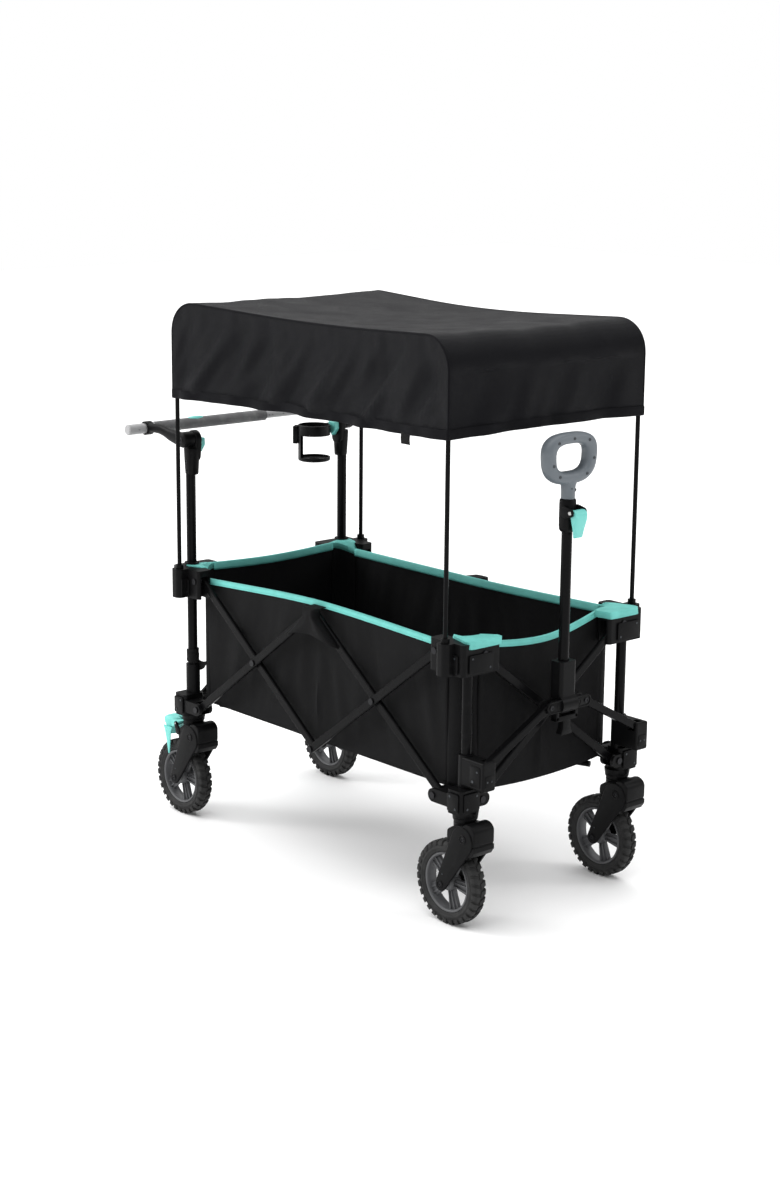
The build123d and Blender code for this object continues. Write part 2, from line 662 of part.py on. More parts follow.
def canopy_envelope(inset, low):
    """The canopy's outer form, made smaller by inset: a plan with bowed sides and a profile with a sagging top."""
    x, y = CANOPY_HALF_X - inset, CANOPY_HALF_Y - inset
    right = ThreePointArc((-x, -y), (0, -y + CANOPY_BOW), (x, -y))
    left = ThreePointArc((x, y), (0, y - CANOPY_BOW), (-x, y))
    plan = make_face([right, Line((x, -y), (x, y)), left, Line((-x, y), (-x, -y))])
    top = OVERALL_HEIGHT - inset
    curve = ThreePointArc((x, top), (0, top - CANOPY_SAG), (-x, top))
    drop, foot, rise = Line((-x, top), (-x, low)), Line((-x, low), (x, low)), Line((x, low), (x, top))
    profile = make_face([drop, foot, rise, curve])
    block = slab_z(plan, low, top + 1) & slab_y(profile, -y - 1, y + 1)
    upper = [e for e in block.edges().filter_by(Axis.Y) if e.center().Z > low + 50]
    return fillet(upper, HOOP_CORNER_R - inset)


def canopy():
    """Hoops, and the cover as a closed shell that is open below."""
    save("canopy_hoops", hoop(-1), hoop(1))
    shell = canopy_envelope(0.0, CANOPY_HEM) - canopy_envelope(CANOPY_T, CANOPY_HEM - 5)
    save("canopy_fabric", shell)


def basket():
    """Fabric basket: four walls and a floor, open on top."""
    outer = RectangleRounded(2 * BASKET_HALF_X, 2 * BASKET_HALF_Y, BASKET_CORNER_R)
    shell = slab_z(outer, BASKET_FLOOR, BASKET_TOP)
    inner = offset(outer, -BASKET_WALL)
    shell -= slab_z(inner, BASKET_FLOOR + BASKET_WALL, BASKET_TOP + 1)
    save("basket", shell)


def floor_stays():
    """Four bars from the corners to a hub under the basket."""
    z = 264.0
    start = (POST_X - 24, POST_Y - 60)
    hub = upright(30, z - 8, z + 8)
    solids = [hub]
    for signs in CORNERS.values():
        end = Vector(signs[0] * start[0], signs[1] * start[1], z)
        reach = hypot(*start)
        near = end * (33 / reach)
        near = Vector(near.X, near.Y, z)
        solids.append(
            Solid.make_cylinder(6.5, (end - near).length, Plane(origin=near, z_dir=end - near))
        )
    save("floor_stays", *solids)


def main():
    for name, signs in CORNERS.items():
        lower_bracket(name, signs)
        top_bracket(name, signs)
        post(name, signs)
        caster_fork(name, signs)
        tyre_and_rim(name, signs)
        if signs[0] < 0:
            brake_pedal(name, signs)
    scissor_links()
    yoke()
    pull_handle()
    for name, side in (("right", -1), ("left", 1)):
        push_hinge(name, side)
        push_arm(name, side)
    handlebar()
    cup_holder()
    canopy()
    basket()
    floor_stays()


main()
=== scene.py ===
"""Looks of the folding kids pull wagon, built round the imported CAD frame.

Metres, +X forward, +Y to the wagon's left, +Z up, with the floor at z = 0. "Right" is the side at -Y.
CAD nodes keep their shape and get materials. Soft goods and most moulded parts are new pieces that take the
place of their node, and small details are added to the rest. All are placed from the CAD nodes' boxes.
"""

import contextlib
import json
import math

import bmesh
import bpy
from mathutils import Matrix, Vector, noise


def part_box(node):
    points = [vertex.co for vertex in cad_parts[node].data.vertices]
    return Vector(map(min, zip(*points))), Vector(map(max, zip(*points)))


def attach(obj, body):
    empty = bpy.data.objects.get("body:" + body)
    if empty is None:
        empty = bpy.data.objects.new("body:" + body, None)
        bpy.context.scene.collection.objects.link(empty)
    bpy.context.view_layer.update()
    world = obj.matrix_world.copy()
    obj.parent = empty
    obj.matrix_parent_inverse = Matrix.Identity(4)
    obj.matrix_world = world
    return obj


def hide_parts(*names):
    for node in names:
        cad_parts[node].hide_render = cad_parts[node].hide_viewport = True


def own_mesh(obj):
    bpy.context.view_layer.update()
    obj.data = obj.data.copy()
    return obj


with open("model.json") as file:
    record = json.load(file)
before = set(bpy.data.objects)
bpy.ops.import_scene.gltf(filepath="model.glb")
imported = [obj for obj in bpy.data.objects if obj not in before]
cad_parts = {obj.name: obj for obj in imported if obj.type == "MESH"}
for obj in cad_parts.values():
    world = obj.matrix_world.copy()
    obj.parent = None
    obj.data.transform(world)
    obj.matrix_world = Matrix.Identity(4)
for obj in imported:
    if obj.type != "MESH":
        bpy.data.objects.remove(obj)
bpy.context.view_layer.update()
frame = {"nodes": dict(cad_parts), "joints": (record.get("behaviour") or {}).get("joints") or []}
NODES = frame["nodes"]

ENDS = {"rear": -1, "front": 1}
SIDES = {"right": -1, "left": 1}
CORNERS = {f"{e}_{s}": (ENDS[e], SIDES[s]) for e in ENDS for s in SIDES}


# ---------------------------------------------------------------- places read from the frame

def middle(node):
    """The middle of a CAD node's box."""
    low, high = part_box(node)
    return (low + high) / 2


POST = {name: middle(f"{name}_post") for name in CORNERS}
CENTRE_X = (POST["rear_right"].x + POST["front_right"].x) / 2
POST_X = (POST["front_right"].x - POST["rear_right"].x) / 2
POST_Y = POST["front_left"].y
BASKET_LOW, BASKET_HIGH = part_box("basket")
BRACKET_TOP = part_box("front_right_top_bracket")[1].z
BRACKET_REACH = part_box("front_right_top_bracket")[1].x - CENTRE_X
HOOPS_LOW, HOOPS_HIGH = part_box("canopy_hoops")

# The fold: every link is 0.5 m long and starts at the slope of a 3-4-5 triangle.
LINK = 0.5
LINK_SLOPE = math.atan2(3, 4)
FOLD_LIMIT = math.radians(next(j for j in frame["joints"] if j["name"] == "fold")["range_deg"][1])
LINK_SHRINK = LINK * (math.cos(LINK_SLOPE) - math.cos(LINK_SLOPE + FOLD_LIMIT))
FOLD_X = 2 * LINK_SHRINK
FOLD_Y = LINK_SHRINK


# ---------------------------------------------------------------- mesh helpers

SHARP_ANGLE = math.radians(38)


def mesh_object(name, verts, faces, material, uvs=None):
    """A smooth-shaded mesh object from points and faces. uvs is one (u, v) for each point."""
    mesh = bpy.data.meshes.new(name)
    mesh.from_pydata([tuple(v) for v in verts], [], faces)
    mesh.validate()
    if uvs:
        layer = mesh.uv_layers.new(name="UVMap")
        for loop in mesh.loops:
            layer.data[loop.index].uv = uvs[loop.vertex_index]
    obj = bpy.data.objects.new(name, mesh)
    bpy.context.scene.collection.objects.link(obj)
    mesh.materials.append(material)
    shade_smooth(obj)
    return obj


@contextlib.contextmanager
def editing(obj):
    """Opens an object's mesh as a bmesh and writes it back."""
    bm = bmesh.new()
    bm.from_mesh(obj.data)
    yield bm
    bm.to_mesh(obj.data)
    bm.free()


def shade_smooth(obj, angle=SHARP_ANGLE):
    """Smooth faces, with edges sharper than angle marked sharp."""
    with editing(obj) as bm:
        for face in bm.faces:
            face.smooth = True
        for edge in bm.edges:
            if len(edge.link_faces) == 2:
                edge.smooth = edge.calc_face_angle(0.0) < angle
    return obj


def closed_mesh(name, verts, faces, material):
    """A mesh object whose faces all point outwards."""
    obj = mesh_object(name, verts, faces, material)
    fix_normals(obj)
    return obj


def grid_object(name, rows, material, closed_rows=False, closed_columns=False):
    """A grid of quads from rows of points, with UVs that run in metres along the first row and column."""
    count, width = len(rows), len(rows[0])
    verts = [p for row in rows for p in row]
    row_list = range(count if closed_rows else count - 1)
    column_list = range(width if closed_columns else width - 1)
    faces = []
    for r in row_list:
        for c in column_list:
            here, below, beside = r * width, (r + 1) % count * width, (c + 1) % width
            faces.append((here + c, here + beside, below + beside, below + c))
    return mesh_object(name, verts, faces, material, grid_uvs(rows))


def grid_uvs(rows):
    """One (u, v) in metres for each point of a grid: distance along its row, and distance down its column."""
    down = [[0.0] * len(rows[0])]
    for above, row in zip(rows, rows[1:]):
        down.append([d + (p - q).length for d, p, q in zip(down[-1], row, above)])
    uvs = []
    for row, heights in zip(rows, down):
        along = 0.0
        for i, point in enumerate(row):
            along += (point - row[i - 1]).length if i else 0.0
            uvs.append((along, heights[i]))
    return uvs


def bevelled(obj, width, segments=2, angle=30):
    """Rounds the edges of a new piece that are sharper than angle, in degrees."""
    limit = math.radians(angle)
    with editing(obj) as bm:
        sharp = [e for e in bm.edges if len(e.link_faces) == 2 and e.calc_face_angle(0.0) > limit]
        bmesh.ops.bevel(
            bm, geom=sharp, offset=width, segments=segments, profile=0.5, affect="EDGES", clamp_overlap=True
        )
    return shade_smooth(obj)


def prism(name, outline, low, high, axis, material, bevel=0.0, segments=2):
    """A plate with the given outline, which is (y, z) for axis "x", (x, z) for "y" and (x, y) for "z"."""
    place = {
        "x": lambda a, b, t: Vector((t, a, b)),
        "y": lambda a, b, t: Vector((a, t, b)),
        "z": lambda a, b, t: Vector((a, b, t)),
    }[axis]
    n = len(outline)
    verts = [place(a, b, low) for a, b in outline] + [place(a, b, high) for a, b in outline]
    faces = [tuple(range(n)), tuple(range(2 * n - 1, n - 1, -1))]
    faces += [(i, n + i, n + (i + 1) % n, (i + 1) % n) for i in range(n)]
    obj = closed_mesh(name, verts, faces, material)
    if bevel:
        bevelled(obj, bevel, segments)
    return shade_smooth(obj)


def fix_normals(obj):
    """Turns a mesh's faces outwards, or to one side if it is open."""
    with editing(obj) as bm:
        bmesh.ops.recalc_face_normals(bm, faces=bm.faces)


def lathe(name, profile, origin, axis, material, steps=48, side=1):
    """A profile of (radius, along) turned round an axis through origin. A radius of 0 closes an end.

    side -1 turns the profile to face the other way along the axis.
    """
    turn = {"x": Vector((1, 0, 0)), "y": Vector((0, 1, 0)), "z": Vector((0, 0, 1))}[axis]
    first = Vector((0, 0, 1)) if axis != "z" else Vector((1, 0, 0))
    other = turn.cross(first)
    verts, faces, rings = [], [], []
    for radius, along in profile:
        along *= side
        if radius < 1e-7:
            rings.append([len(verts)])
            verts.append(origin + turn * along)
            continue
        start = len(verts)
        for i in range(steps):
            a = math.tau * i / steps
            verts.append(origin + turn * along + (first * math.cos(a) + other * math.sin(a)) * radius)
        rings.append(list(range(start, start + steps)))
    for ring, following in zip(rings, rings[1:]):
        for i in range(steps):
            j = (i + 1) % steps
            corners = ((ring, i), (ring, j), (following, j), (following, i))
            faces.append(tuple(dict.fromkeys(circle[k % len(circle)] for circle, k in corners)))
    return shade_smooth(closed_mesh(name, verts, faces, material))


def ring_lathe(name, profile, origin, axis, material, steps=48, side=1):
    """A closed profile of (radius, along) turned round an axis through origin."""
    return lathe(name, [*profile, profile[0]], origin, axis, material, steps, side)


def both_halves(half):
    """A profile of (radius, along) that ends at along 0, with its mirror image added."""
    return half + [(radius, -along) for radius, along in reversed(half[:-1])]


def tube(name, points, radius, material, cyclic=False, sides=4):
    """A round cord or wire along points, as a mesh."""
    curve = bpy.data.curves.new(name, "CURVE")
    curve.dimensions = "3D"
    curve.bevel_depth = radius
    curve.bevel_resolution = sides
    curve.use_fill_caps = not cyclic
    spline = curve.splines.new("NURBS")
    spline.points.add(len(points) - 1)
    for slot_point, point in zip(spline.points, points):
        slot_point.co = (*point, 1.0)
    spline.order_u = 3
    spline.use_endpoint_u = not cyclic
    spline.use_cyclic_u = cyclic
    spline.resolution_u = 6
    holder = bpy.data.objects.new(name + "_line", curve)
    bpy.context.scene.collection.objects.link(holder)
    dg = bpy.context.evaluated_depsgraph_get()
    mesh = bpy.data.meshes.new_from_object(holder.evaluated_get(dg))
    bpy.data.objects.remove(holder)
    obj = bpy.data.objects.new(name, mesh)
    bpy.context.scene.collection.objects.link(obj)
    mesh.materials.clear()
    mesh.materials.append(material)
    return shade_smooth(obj, math.radians(60))


def settle(piece, body):
    """Gives a piece the body that it rides on."""
    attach(piece, body)


def merged(name, objects):
    """Joins pieces into one object that keeps their materials and UVs."""
    for obj in bpy.context.selected_objects:
        obj.select_set(False)
    for obj in objects:
        obj.select_set(True)
    bpy.context.view_layer.objects.active = objects[0]
    if len(objects) > 1:
        bpy.ops.object.join()
    objects[0].name = name
    objects[0].data.name = name
    objects[0].select_set(False)
    return objects[0]


def thickened(obj, thickness, offset=-1.0, inner=0):
    """Gives a sheet its thickness. inner is the step from the outer face's material to the inner one's."""
    mod = obj.modifiers.new("cloth_thickness", "SOLIDIFY")
    mod.thickness = thickness
    mod.offset = offset
    mod.use_even_offset = False
    mod.material_offset = inner
    return obj


def smoothstep(low, high, value):
    """0 up to low, 1 from high on, and an even S between them."""
    t = min(max((value - low) / (high - low), 0.0), 1.0)
    return t * t * (3 - 2 * t)


def wave_noise(x, y, seed):
    """Smooth noise between about -1 and 1, the same at every run."""
    return noise.noise(Vector((x, y, seed)))


def fold_field(along, down, seed, slant=0.5, width=0.06, length=0.35):
    """Soft folds of cloth: noise drawn out along a slanting direction. Between about -1 and 1."""
    across = along + slant * down
    coarse = wave_noise(across / width, down / length, seed)
    fine = wave_noise(across / width * 2.3, down / length * 1.7, seed + 7.3)
    return 1.25 * coarse + 0.45 * fine


# ---------------------------------------------------------------- materials

def new_material(name, colour, roughness, **sockets):
    """A material and its node tools. Sockets that are one number all over are set on the shader itself."""
    material = bpy.data.materials.new(name)
    material.use_nodes = True
    shader = material.node_tree.nodes["Principled BSDF"]
    shader.inputs["Base Color"].default_value = (*colour, 1)
    shader.inputs["Roughness"].default_value = roughness
    for socket, value in sockets.items():
        shader.inputs[socket.replace("_", " ")].default_value = value
    return material, shader


def node(material, kind, **settings):
    """A new shader node, with its inputs or its own settings given by name."""
    made = material.node_tree.nodes.new(kind)
    for key, value in settings.items():
        if key in made.inputs.keys():
            made.inputs[key].default_value = value
        else:
            setattr(made, key, value)
    return made


def link(material, source, target):
    material.node_tree.links.new(source, target)


def coordinates(material):
    return node(material, "ShaderNodeTexCoord").outputs["Object"]


def uv_metres(material):
    """The two UV values of a piece, which are metres along and down it."""
    uv = node(material, "ShaderNodeUVMap", uv_map="UVMap").outputs["UV"]
    split = node(material, "ShaderNodeSeparateXYZ")
    link(material, uv, split.inputs[0])
    return split.outputs["X"], split.outputs["Y"]


def noise_node(material, where, scale, detail=3.0, roughness=0.55):
    made = node(material, "ShaderNodeTexNoise")
    made.inputs["Scale"].default_value = scale
    made.inputs["Detail"].default_value = detail
    made.inputs["Roughness"].default_value = roughness
    link(material, where, made.inputs["Vector"])
    return made.outputs["Fac"]


def remap(material, value, low, high, out_low, out_high):
    made = node(material, "ShaderNodeMapRange")
    for socket, number in zip(("From Min", "From Max", "To Min", "To Max"), (low, high, out_low, out_high)):
        made.inputs[socket].default_value = number
    link(material, value, made.inputs["Value"])
    return made.outputs["Result"]


def mix_colours(material, factor, first, second):
    made = node(material, "ShaderNodeMix", data_type="RGBA")
    made.inputs["A"].default_value = (0, 0, 0, 1)
    for socket, colour in (("A", first), ("B", second)):
        target = next(i for i in made.inputs if i.name == socket and i.type == "RGBA")
        if isinstance(colour, tuple):
            target.default_value = (*colour, 1)
        else:
            link(material, colour, target)
    link(material, factor, made.inputs["Factor"])
    return next(o for o in made.outputs if o.type == "RGBA")


def maths(material, operation, first, second=None):
    made = node(material, "ShaderNodeMath", operation=operation)
    for index, value in enumerate((first, second)):
        if value is None:
            continue
        if isinstance(value, (int, float)):
            made.inputs[index].default_value = value
        else:
            link(material, value, made.inputs[index])
    return made.outputs[0]


def scaled(material, value, factor):
    return maths(material, "MULTIPLY", value, factor)


def add_scaled(material, first, second, factor):
    return maths(material, "ADD", first, scaled(material, second, factor))


def stripes(material, value, pitch):
    """A sine wave along a value in metres."""
    return maths(material, "SINE", scaled(material, value, math.tau / pitch))


def bump(material, shader, height, strength, distance):
    made = node(material, "ShaderNodeBump")
    made.inputs["Strength"].default_value = strength
    made.inputs["Distance"].default_value = distance
    link(material, height, made.inputs["Height"])
    link(material, made.outputs["Normal"], shader.inputs["Normal"])


def tint(material, shader, mask, low, high, colour, other):
    """A base colour that goes from colour to other as the mask goes from low to high."""
    share = remap(material, mask, low, high, 0.0, 1.0)
    link(material, mix_colours(material, share, colour, other), shader.inputs["Base Color"])


def vary_roughness(material, shader, cloud, low, high):
    """A roughness between about low and high, by a cloud of noise."""
    link(material, remap(material, cloud, 0.3, 0.7, low, high), shader.inputs["Roughness"])


def plastic(name, colour, worn, roughness, **sockets):
    """Moulded plastic: fine grain, cloudy gloss and slight colour changes, with paler rubbed patches."""
    material, shader = new_material(name, colour, roughness, **sockets)
    where = coordinates(material)
    tint(material, shader, noise_node(material, where, 60.0, 6.0, 0.7), 0.56, 0.78, colour, worn)
    vary_roughness(material, shader, noise_node(material, where, 9.0), roughness - 0.06, roughness + 0.08)
    bump(material, shader, noise_node(material, where, 900.0, 2.0), 0.25, 0.0003)
    return material


def woven(name, colour, dark, roughness, pitch=0.0011, strength=0.5, **sockets):
    """Plain-woven polyester: crossing yarns from the piece's UVs in metres, with painted shade in the weave's
    low spots and a cloudy dye.
    """
    material, shader = new_material(name, colour, roughness, **sockets)
    across, along = [stripes(material, value, pitch) for value in uv_metres(material)]
    yarns = maths(material, "MULTIPLY", across, along)
    height = maths(material, "ADD", scaled(material, yarns, 0.5), 0.5)
    where = coordinates(material)
    cloud = noise_node(material, where, 14.0, 4.0)
    slub = noise_node(material, where, 420.0, 2.0)
    # The base colour darkens with the yarns' height, which paints shade into the weave's low spots. It also
    # darkens with the cloud, which is a cloudy dye.
    weave_shade_and_dye = add_scaled(material, scaled(material, height, 0.35), cloud, 0.75)
    tint(material, shader, weave_shade_and_dye, 0.25, 0.95, dark, colour)
    vary_roughness(material, shader, cloud, roughness - 0.05, roughness + 0.07)
    bump(material, shader, add_scaled(material, height, slub, 0.6), strength, 0.0005)
    return material


def stitched_tape(name, colour, dark, lines, width, gloss=0.3):
    """Binding tape: fine ribs across it, and lines of stitches at the given distances from its edge."""
    material, shader = new_material(name, colour, 0.62, Specular_IOR_Level=gloss)
    along, down = uv_metres(material)
    rib = stripes(material, along, 0.0012)
    dash = maths(material, "GREATER_THAN", stripes(material, along, 0.0042), -0.45)
    seam = None
    for place in lines:
        away = maths(material, "ABSOLUTE", maths(material, "SUBTRACT", down, place))
        near = maths(material, "LESS_THAN", away, width)
        seam = near if seam is None else maths(material, "MAXIMUM", seam, near)
    thread = maths(material, "MULTIPLY", seam, dash)
    cloud = noise_node(material, coordinates(material), 30.0, 4.0)
    tone = remap(material, cloud, 0.3, 0.75, 0.0, 0.8)
    base = mix_colours(material, tone, colour, dark)
    stitched = mix_colours(material, scaled(material, seam, 0.55), base, dark)
    link(material, stitched, shader.inputs["Base Color"])
    height = add_scaled(material, scaled(material, rib, 0.12), thread, 0.9)
    bump(material, shader, add_scaled(material, height, seam, -0.6), 0.55, 0.0006)
    return material


def foam_material():
    """Closed-cell foam sleeve: fine cells, a dusty surface and soft scuffs."""
    colour, pale = (0.115, 0.115, 0.118), (0.19, 0.19, 0.192)
    material, shader = new_material("foam_grip", colour, 0.85)
    where = coordinates(material)
    cells = node(material, "ShaderNodeTexVoronoi")
    cells.inputs["Scale"].default_value = 900.0
    link(material, where, cells.inputs["Vector"])
    tint(material, shader, noise_node(material, where, 35.0, 6.0, 0.65), 0.45, 0.75, colour, pale)
    bump(material, shader, cells.outputs["Distance"], 0.5, 0.0004)
    return material


def steel_material(name, colour, roughness):
    """Plated or painted steel with fine scratches."""
    material, shader = new_material(name, colour, roughness, Metallic=1.0)
    scratch = noise_node(material, coordinates(material), 240.0, 5.0, 0.7)
    vary_roughness(material, shader, scratch, roughness - 0.08, roughness + 0.12)
    bump(material, shader, scratch, 0.08, 0.0002)
    return material


def powder_coat():
    """Satin black powder coat with orange-peel and a few rubbed places."""
    colour, worn = (0.0035, 0.0035, 0.0038), (0.009, 0.009, 0.0095)
    material, shader = new_material("black_tube", colour, 0.3, Specular_IOR_Level=0.06)
    where = coordinates(material)
    tint(material, shader, noise_node(material, where, 45.0, 6.0, 0.7), 0.56, 0.8, colour, worn)
    vary_roughness(material, shader, noise_node(material, where, 12.0), 0.2, 0.32)
    bump(material, shader, noise_node(material, where, 520.0, 2.0), 0.18, 0.0003)
    return material


def rubber():
    """Tyre rubber: dusty, with a fine grain."""
    colour, dusty = (0.011, 0.011, 0.0112), (0.035, 0.035, 0.0345)
    material, shader = new_material("tyre_rubber", colour, 0.7, Specular_IOR_Level=0.3)
    where = coordinates(material)
    dust = noise_node(material, where, 25.0, 7.0, 0.7)
    tint(material, shader, dust, 0.42, 0.75, colour, dusty)
    vary_roughness(material, shader, dust, 0.62, 0.82)
    bump(material, shader, noise_node(material, where, 700.0, 3.0), 0.35, 0.0003)
    return material


TEAL = (0.155, 0.565, 0.515)
TEAL_DARK = (0.11, 0.43, 0.385)
BLACK_PLASTIC = plastic(
    "black_plastic", (0.0045, 0.0045, 0.0048), (0.009, 0.009, 0.0094), 0.36, Specular_IOR_Level=0.07
)
BLACK_TUBE = powder_coat()
RUBBER = rubber()
RIM_PLASTIC = plastic("wheel_rim", (0.075, 0.076, 0.080), (0.11, 0.111, 0.115), 0.45, Specular_IOR_Level=0.4)
TEAL_PLASTIC = plastic("teal_plastic", TEAL, (0.22, 0.70, 0.63), 0.38, Specular_IOR_Level=0.4)
GRIP_PLASTIC = plastic(
    "grip_plastic", (0.115, 0.132, 0.148), (0.145, 0.163, 0.18), 0.42, Specular_IOR_Level=0.4
)
GREY_PLASTIC = plastic("light_grey_plastic", (0.34, 0.34, 0.345), (0.42, 0.42, 0.425), 0.42)
FOAM = foam_material()
# A darkened copy of the teal plastic: painted shade for the pedal's slot.
TEAL_SLOT_SHADE = plastic("teal_painted_slot_shade", (0.03, 0.16, 0.14), (0.04, 0.2, 0.18), 0.5)
# A darkened copy of the grip plastic's blue-grey: painted shade in screw wells.
WELL_SHADE_PLASTIC = plastic("painted_well_shade", (0.02, 0.025, 0.03), (0.04, 0.045, 0.05), 0.4)
STEEL = steel_material("zinc_steel", (0.45, 0.45, 0.44), 0.35)
DARK_STEEL = steel_material("dark_steel", (0.026, 0.026, 0.028), 0.42)
BASKET_CLOTH = woven(
    "basket_fabric", (0.0075, 0.0075, 0.0079), (0.0038, 0.0038, 0.0042), 0.72, Specular_IOR_Level=0.10
)
LINER_CLOTH = woven(
    "liner_fabric", (0.0072, 0.0072, 0.0078), (0.0038, 0.0038, 0.0042), 0.78, Specular_IOR_Level=0.1
)
CANOPY_CLOTH = woven(
    "canopy_fabric", (0.0040, 0.0040, 0.0056), (0.0026, 0.0026, 0.0036), 0.34, Specular_IOR_Level=0.055,
    Sheen_Weight=0.015, Sheen_Roughness=0.4,
)
TAPE = stitched_tape("teal_trim", TEAL, TEAL_DARK, (0.004, 0.011), 0.0006)
CANOPY_TAPE = stitched_tape(
    "canopy_binding", (0.0046, 0.0046, 0.0060), (0.0024, 0.0024, 0.0032), (0.004, 0.015), 0.0005, 0.06
)
WEBBING = woven(
    "black_webbing", (0.008, 0.008, 0.0084), (0.005, 0.005, 0.005), 0.8, 0.0016, 0.9, Specular_IOR_Level=0.15
)


# ---------------------------------------------------------------- camera, floor and lights

CAMERA_PLACE = Vector((3.50835, -3.0937, 1.6556))
CAMERA_AZIMUTH, CAMERA_ELEVATION, CAMERA_ROLL = math.radians(48.58), math.radians(13.11), math.radians(0.506)
CAMERA_LENS, CAMERA_SENSOR = 65.66, 36.0
FLOOR_HALF = 14.0
SURROUND_LIGHT = 0.42
OVERHEAD_LIGHT = 3.8
# Each soft box's place and power.
SOFTBOXES = {"left": ((-2.6, -2.2, 2.0), 38), "right": ((2.6, 2.6, 2.2), 24)}
SOFTBOX_SIZE = (0.8, 1.6)
SOFTBOX_TARGET = (0, 0, 0.9)


def make_camera():
    """The camera at the photograph's viewing angle, from above the front right corner."""
    back = Vector((
        math.sin(CAMERA_AZIMUTH) * math.cos(CAMERA_ELEVATION),
        -math.cos(CAMERA_AZIMUTH) * math.cos(CAMERA_ELEVATION),
        math.sin(CAMERA_ELEVATION),
    ))
    level = Vector((0, 0, 1)).cross(back).normalized()
    upright = back.cross(level)
    right = level * math.cos(CAMERA_ROLL) + upright * math.sin(CAMERA_ROLL)
    up = upright * math.cos(CAMERA_ROLL) - level * math.sin(CAMERA_ROLL)
    data = bpy.data.cameras.new("camera")
    data.lens = CAMERA_LENS
    data.sensor_width = CAMERA_SENSOR
    data.clip_start = 0.05
    data.clip_end = 60.0
    camera = bpy.data.objects.new("camera", data)
    rows = [(right[i], up[i], back[i], CAMERA_PLACE[i]) for i in range(3)]
    camera.matrix_world = Matrix((*rows, (0, 0, 0, 1)))
    bpy.context.scene.collection.objects.link(camera)
    bpy.context.scene.camera = camera


def make_stage():
    """A white floor that fades into a white surround."""
    material, _ = new_material("studio_white", (0.95, 0.95, 0.95), 0.9)
    signs = ((-1, -1), (1, -1), (1, 1), (-1, 1))
    outline = [(a * FLOOR_HALF, b * FLOOR_HALF, 0) for a, b in signs]
    mesh_object("studio_floor", outline, [(0, 1, 2, 3)], material)


def area_light(name, place, power):
    """A soft box at a place, which faces the wagon."""
    data = bpy.data.lights.new(name, "AREA")
    data.shape = "RECTANGLE"
    data.size, data.size_y = SOFTBOX_SIZE
    data.energy = power
    lamp = bpy.data.objects.new(name, data)
    lamp.location = place
    lamp.rotation_euler = (Vector(SOFTBOX_TARGET) - Vector(place)).to_track_quat("-Z", "Y").to_euler()
    bpy.context.scene.collection.objects.link(lamp)


def make_lights():
    """White behind everything, a broad overhead light that is even over the floor, and two soft boxes."""
    world = bpy.data.worlds.new("studio")
    world.use_nodes = True
    tree = world.node_tree
    lit = tree.nodes["Background"]
    seen = tree.nodes.new("ShaderNodeBackground")
    for background, strength in ((lit, SURROUND_LIGHT), (seen, 1.0)):
        background.inputs["Color"].default_value = (1, 1, 1, 1)
        background.inputs["Strength"].default_value = strength
    path = tree.nodes.new("ShaderNodeLightPath")
    chosen = tree.nodes.new("ShaderNodeMixShader")
    tree.links.new(path.outputs["Is Camera Ray"], chosen.inputs["Fac"])
    tree.links.new(lit.outputs[0], chosen.inputs[1])
    tree.links.new(seen.outputs[0], chosen.inputs[2])
    tree.links.new(chosen.outputs[0], tree.nodes["World Output"].inputs["Surface"])
    bpy.context.scene.world = world
    bpy.context.scene.view_settings.view_transform = "Standard"
    sky = bpy.data.lights.new("overhead_sky", "SUN")
    sky.energy = OVERHEAD_LIGHT
    sky.angle = math.radians(110)
    lamp = bpy.data.objects.new("overhead_sky", sky)
    lamp.rotation_euler = (math.radians(10), math.radians(-14), 0)
    bpy.context.scene.collection.objects.link(lamp)
    for name, (place, power) in SOFTBOXES.items():
        area_light(f"softbox_{name}", place, power)


# ---------------------------------------------------------------- CAD nodes that keep their shape

def loose_parts(mesh):
    """The mesh's separate solids, each as a list of face indices. Vertices at one place count as one."""
    keys, parent = {}, []
    for vertex in mesh.vertices:
        key = tuple(round(c, 6) for c in vertex.co)
        if key not in keys:
            keys[key] = len(parent)
            parent.append(len(parent))

    def root(i):
        while parent[i] != i:
            parent[i] = parent[parent[i]]
            i = parent[i]
        return i

    at = [keys[tuple(round(c, 6) for c in v.co)] for v in mesh.vertices]
    for face in mesh.polygons:
        first = root(at[face.vertices[0]])
        for v in face.vertices[1:]:
            parent[root(at[v])] = first
    parts = {}
    for face in mesh.polygons:
        parts.setdefault(root(at[face.vertices[0]]), []).append(face.index)
    return list(parts.values())


def dress(name, materials):
    """Gives a CAD node its materials.

    With several, the solid with the most faces takes the first, and the rest take the others in turn.
    """
    mesh = NODES[name].data
    mesh.materials.clear()
    for material in materials:
        mesh.materials.append(material)
    if len(materials) == 1:
        return
    parts = sorted(loose_parts(mesh), key=lambda faces: -len(faces))
    for index, faces in enumerate(parts):
        for face in faces:
            mesh.polygons[face].material_index = min(index, len(materials) - 1)


def dress_cad_nodes():
    """Every CAD node takes a finished material, by how its name ends."""
    endings = {
        "bracket": [BLACK_PLASTIC, DARK_STEEL],
        "link_rising": [BLACK_TUBE, DARK_STEEL],
        "inner_tube": [STEEL],
        "lever": [TEAL_PLASTIC],
        "release_button": [TEAL_PLASTIC],
        "handlebar_inner": [GREY_PLASTIC],
    }
    for ending in ("post", "link_falling", "outer_tube", "floor_stays", "canopy_hoops"):
        endings[ending] = [BLACK_TUBE]
    for side in SIDES:
        endings[f"yoke_{side}_arm"] = [BLACK_TUBE]
    for name in NODES:
        ending = next((e for e in endings if name.endswith(e)), None)
        dress(name, endings.get(ending, [BLACK_PLASTIC]))


# ---------------------------------------------------------------- canopy

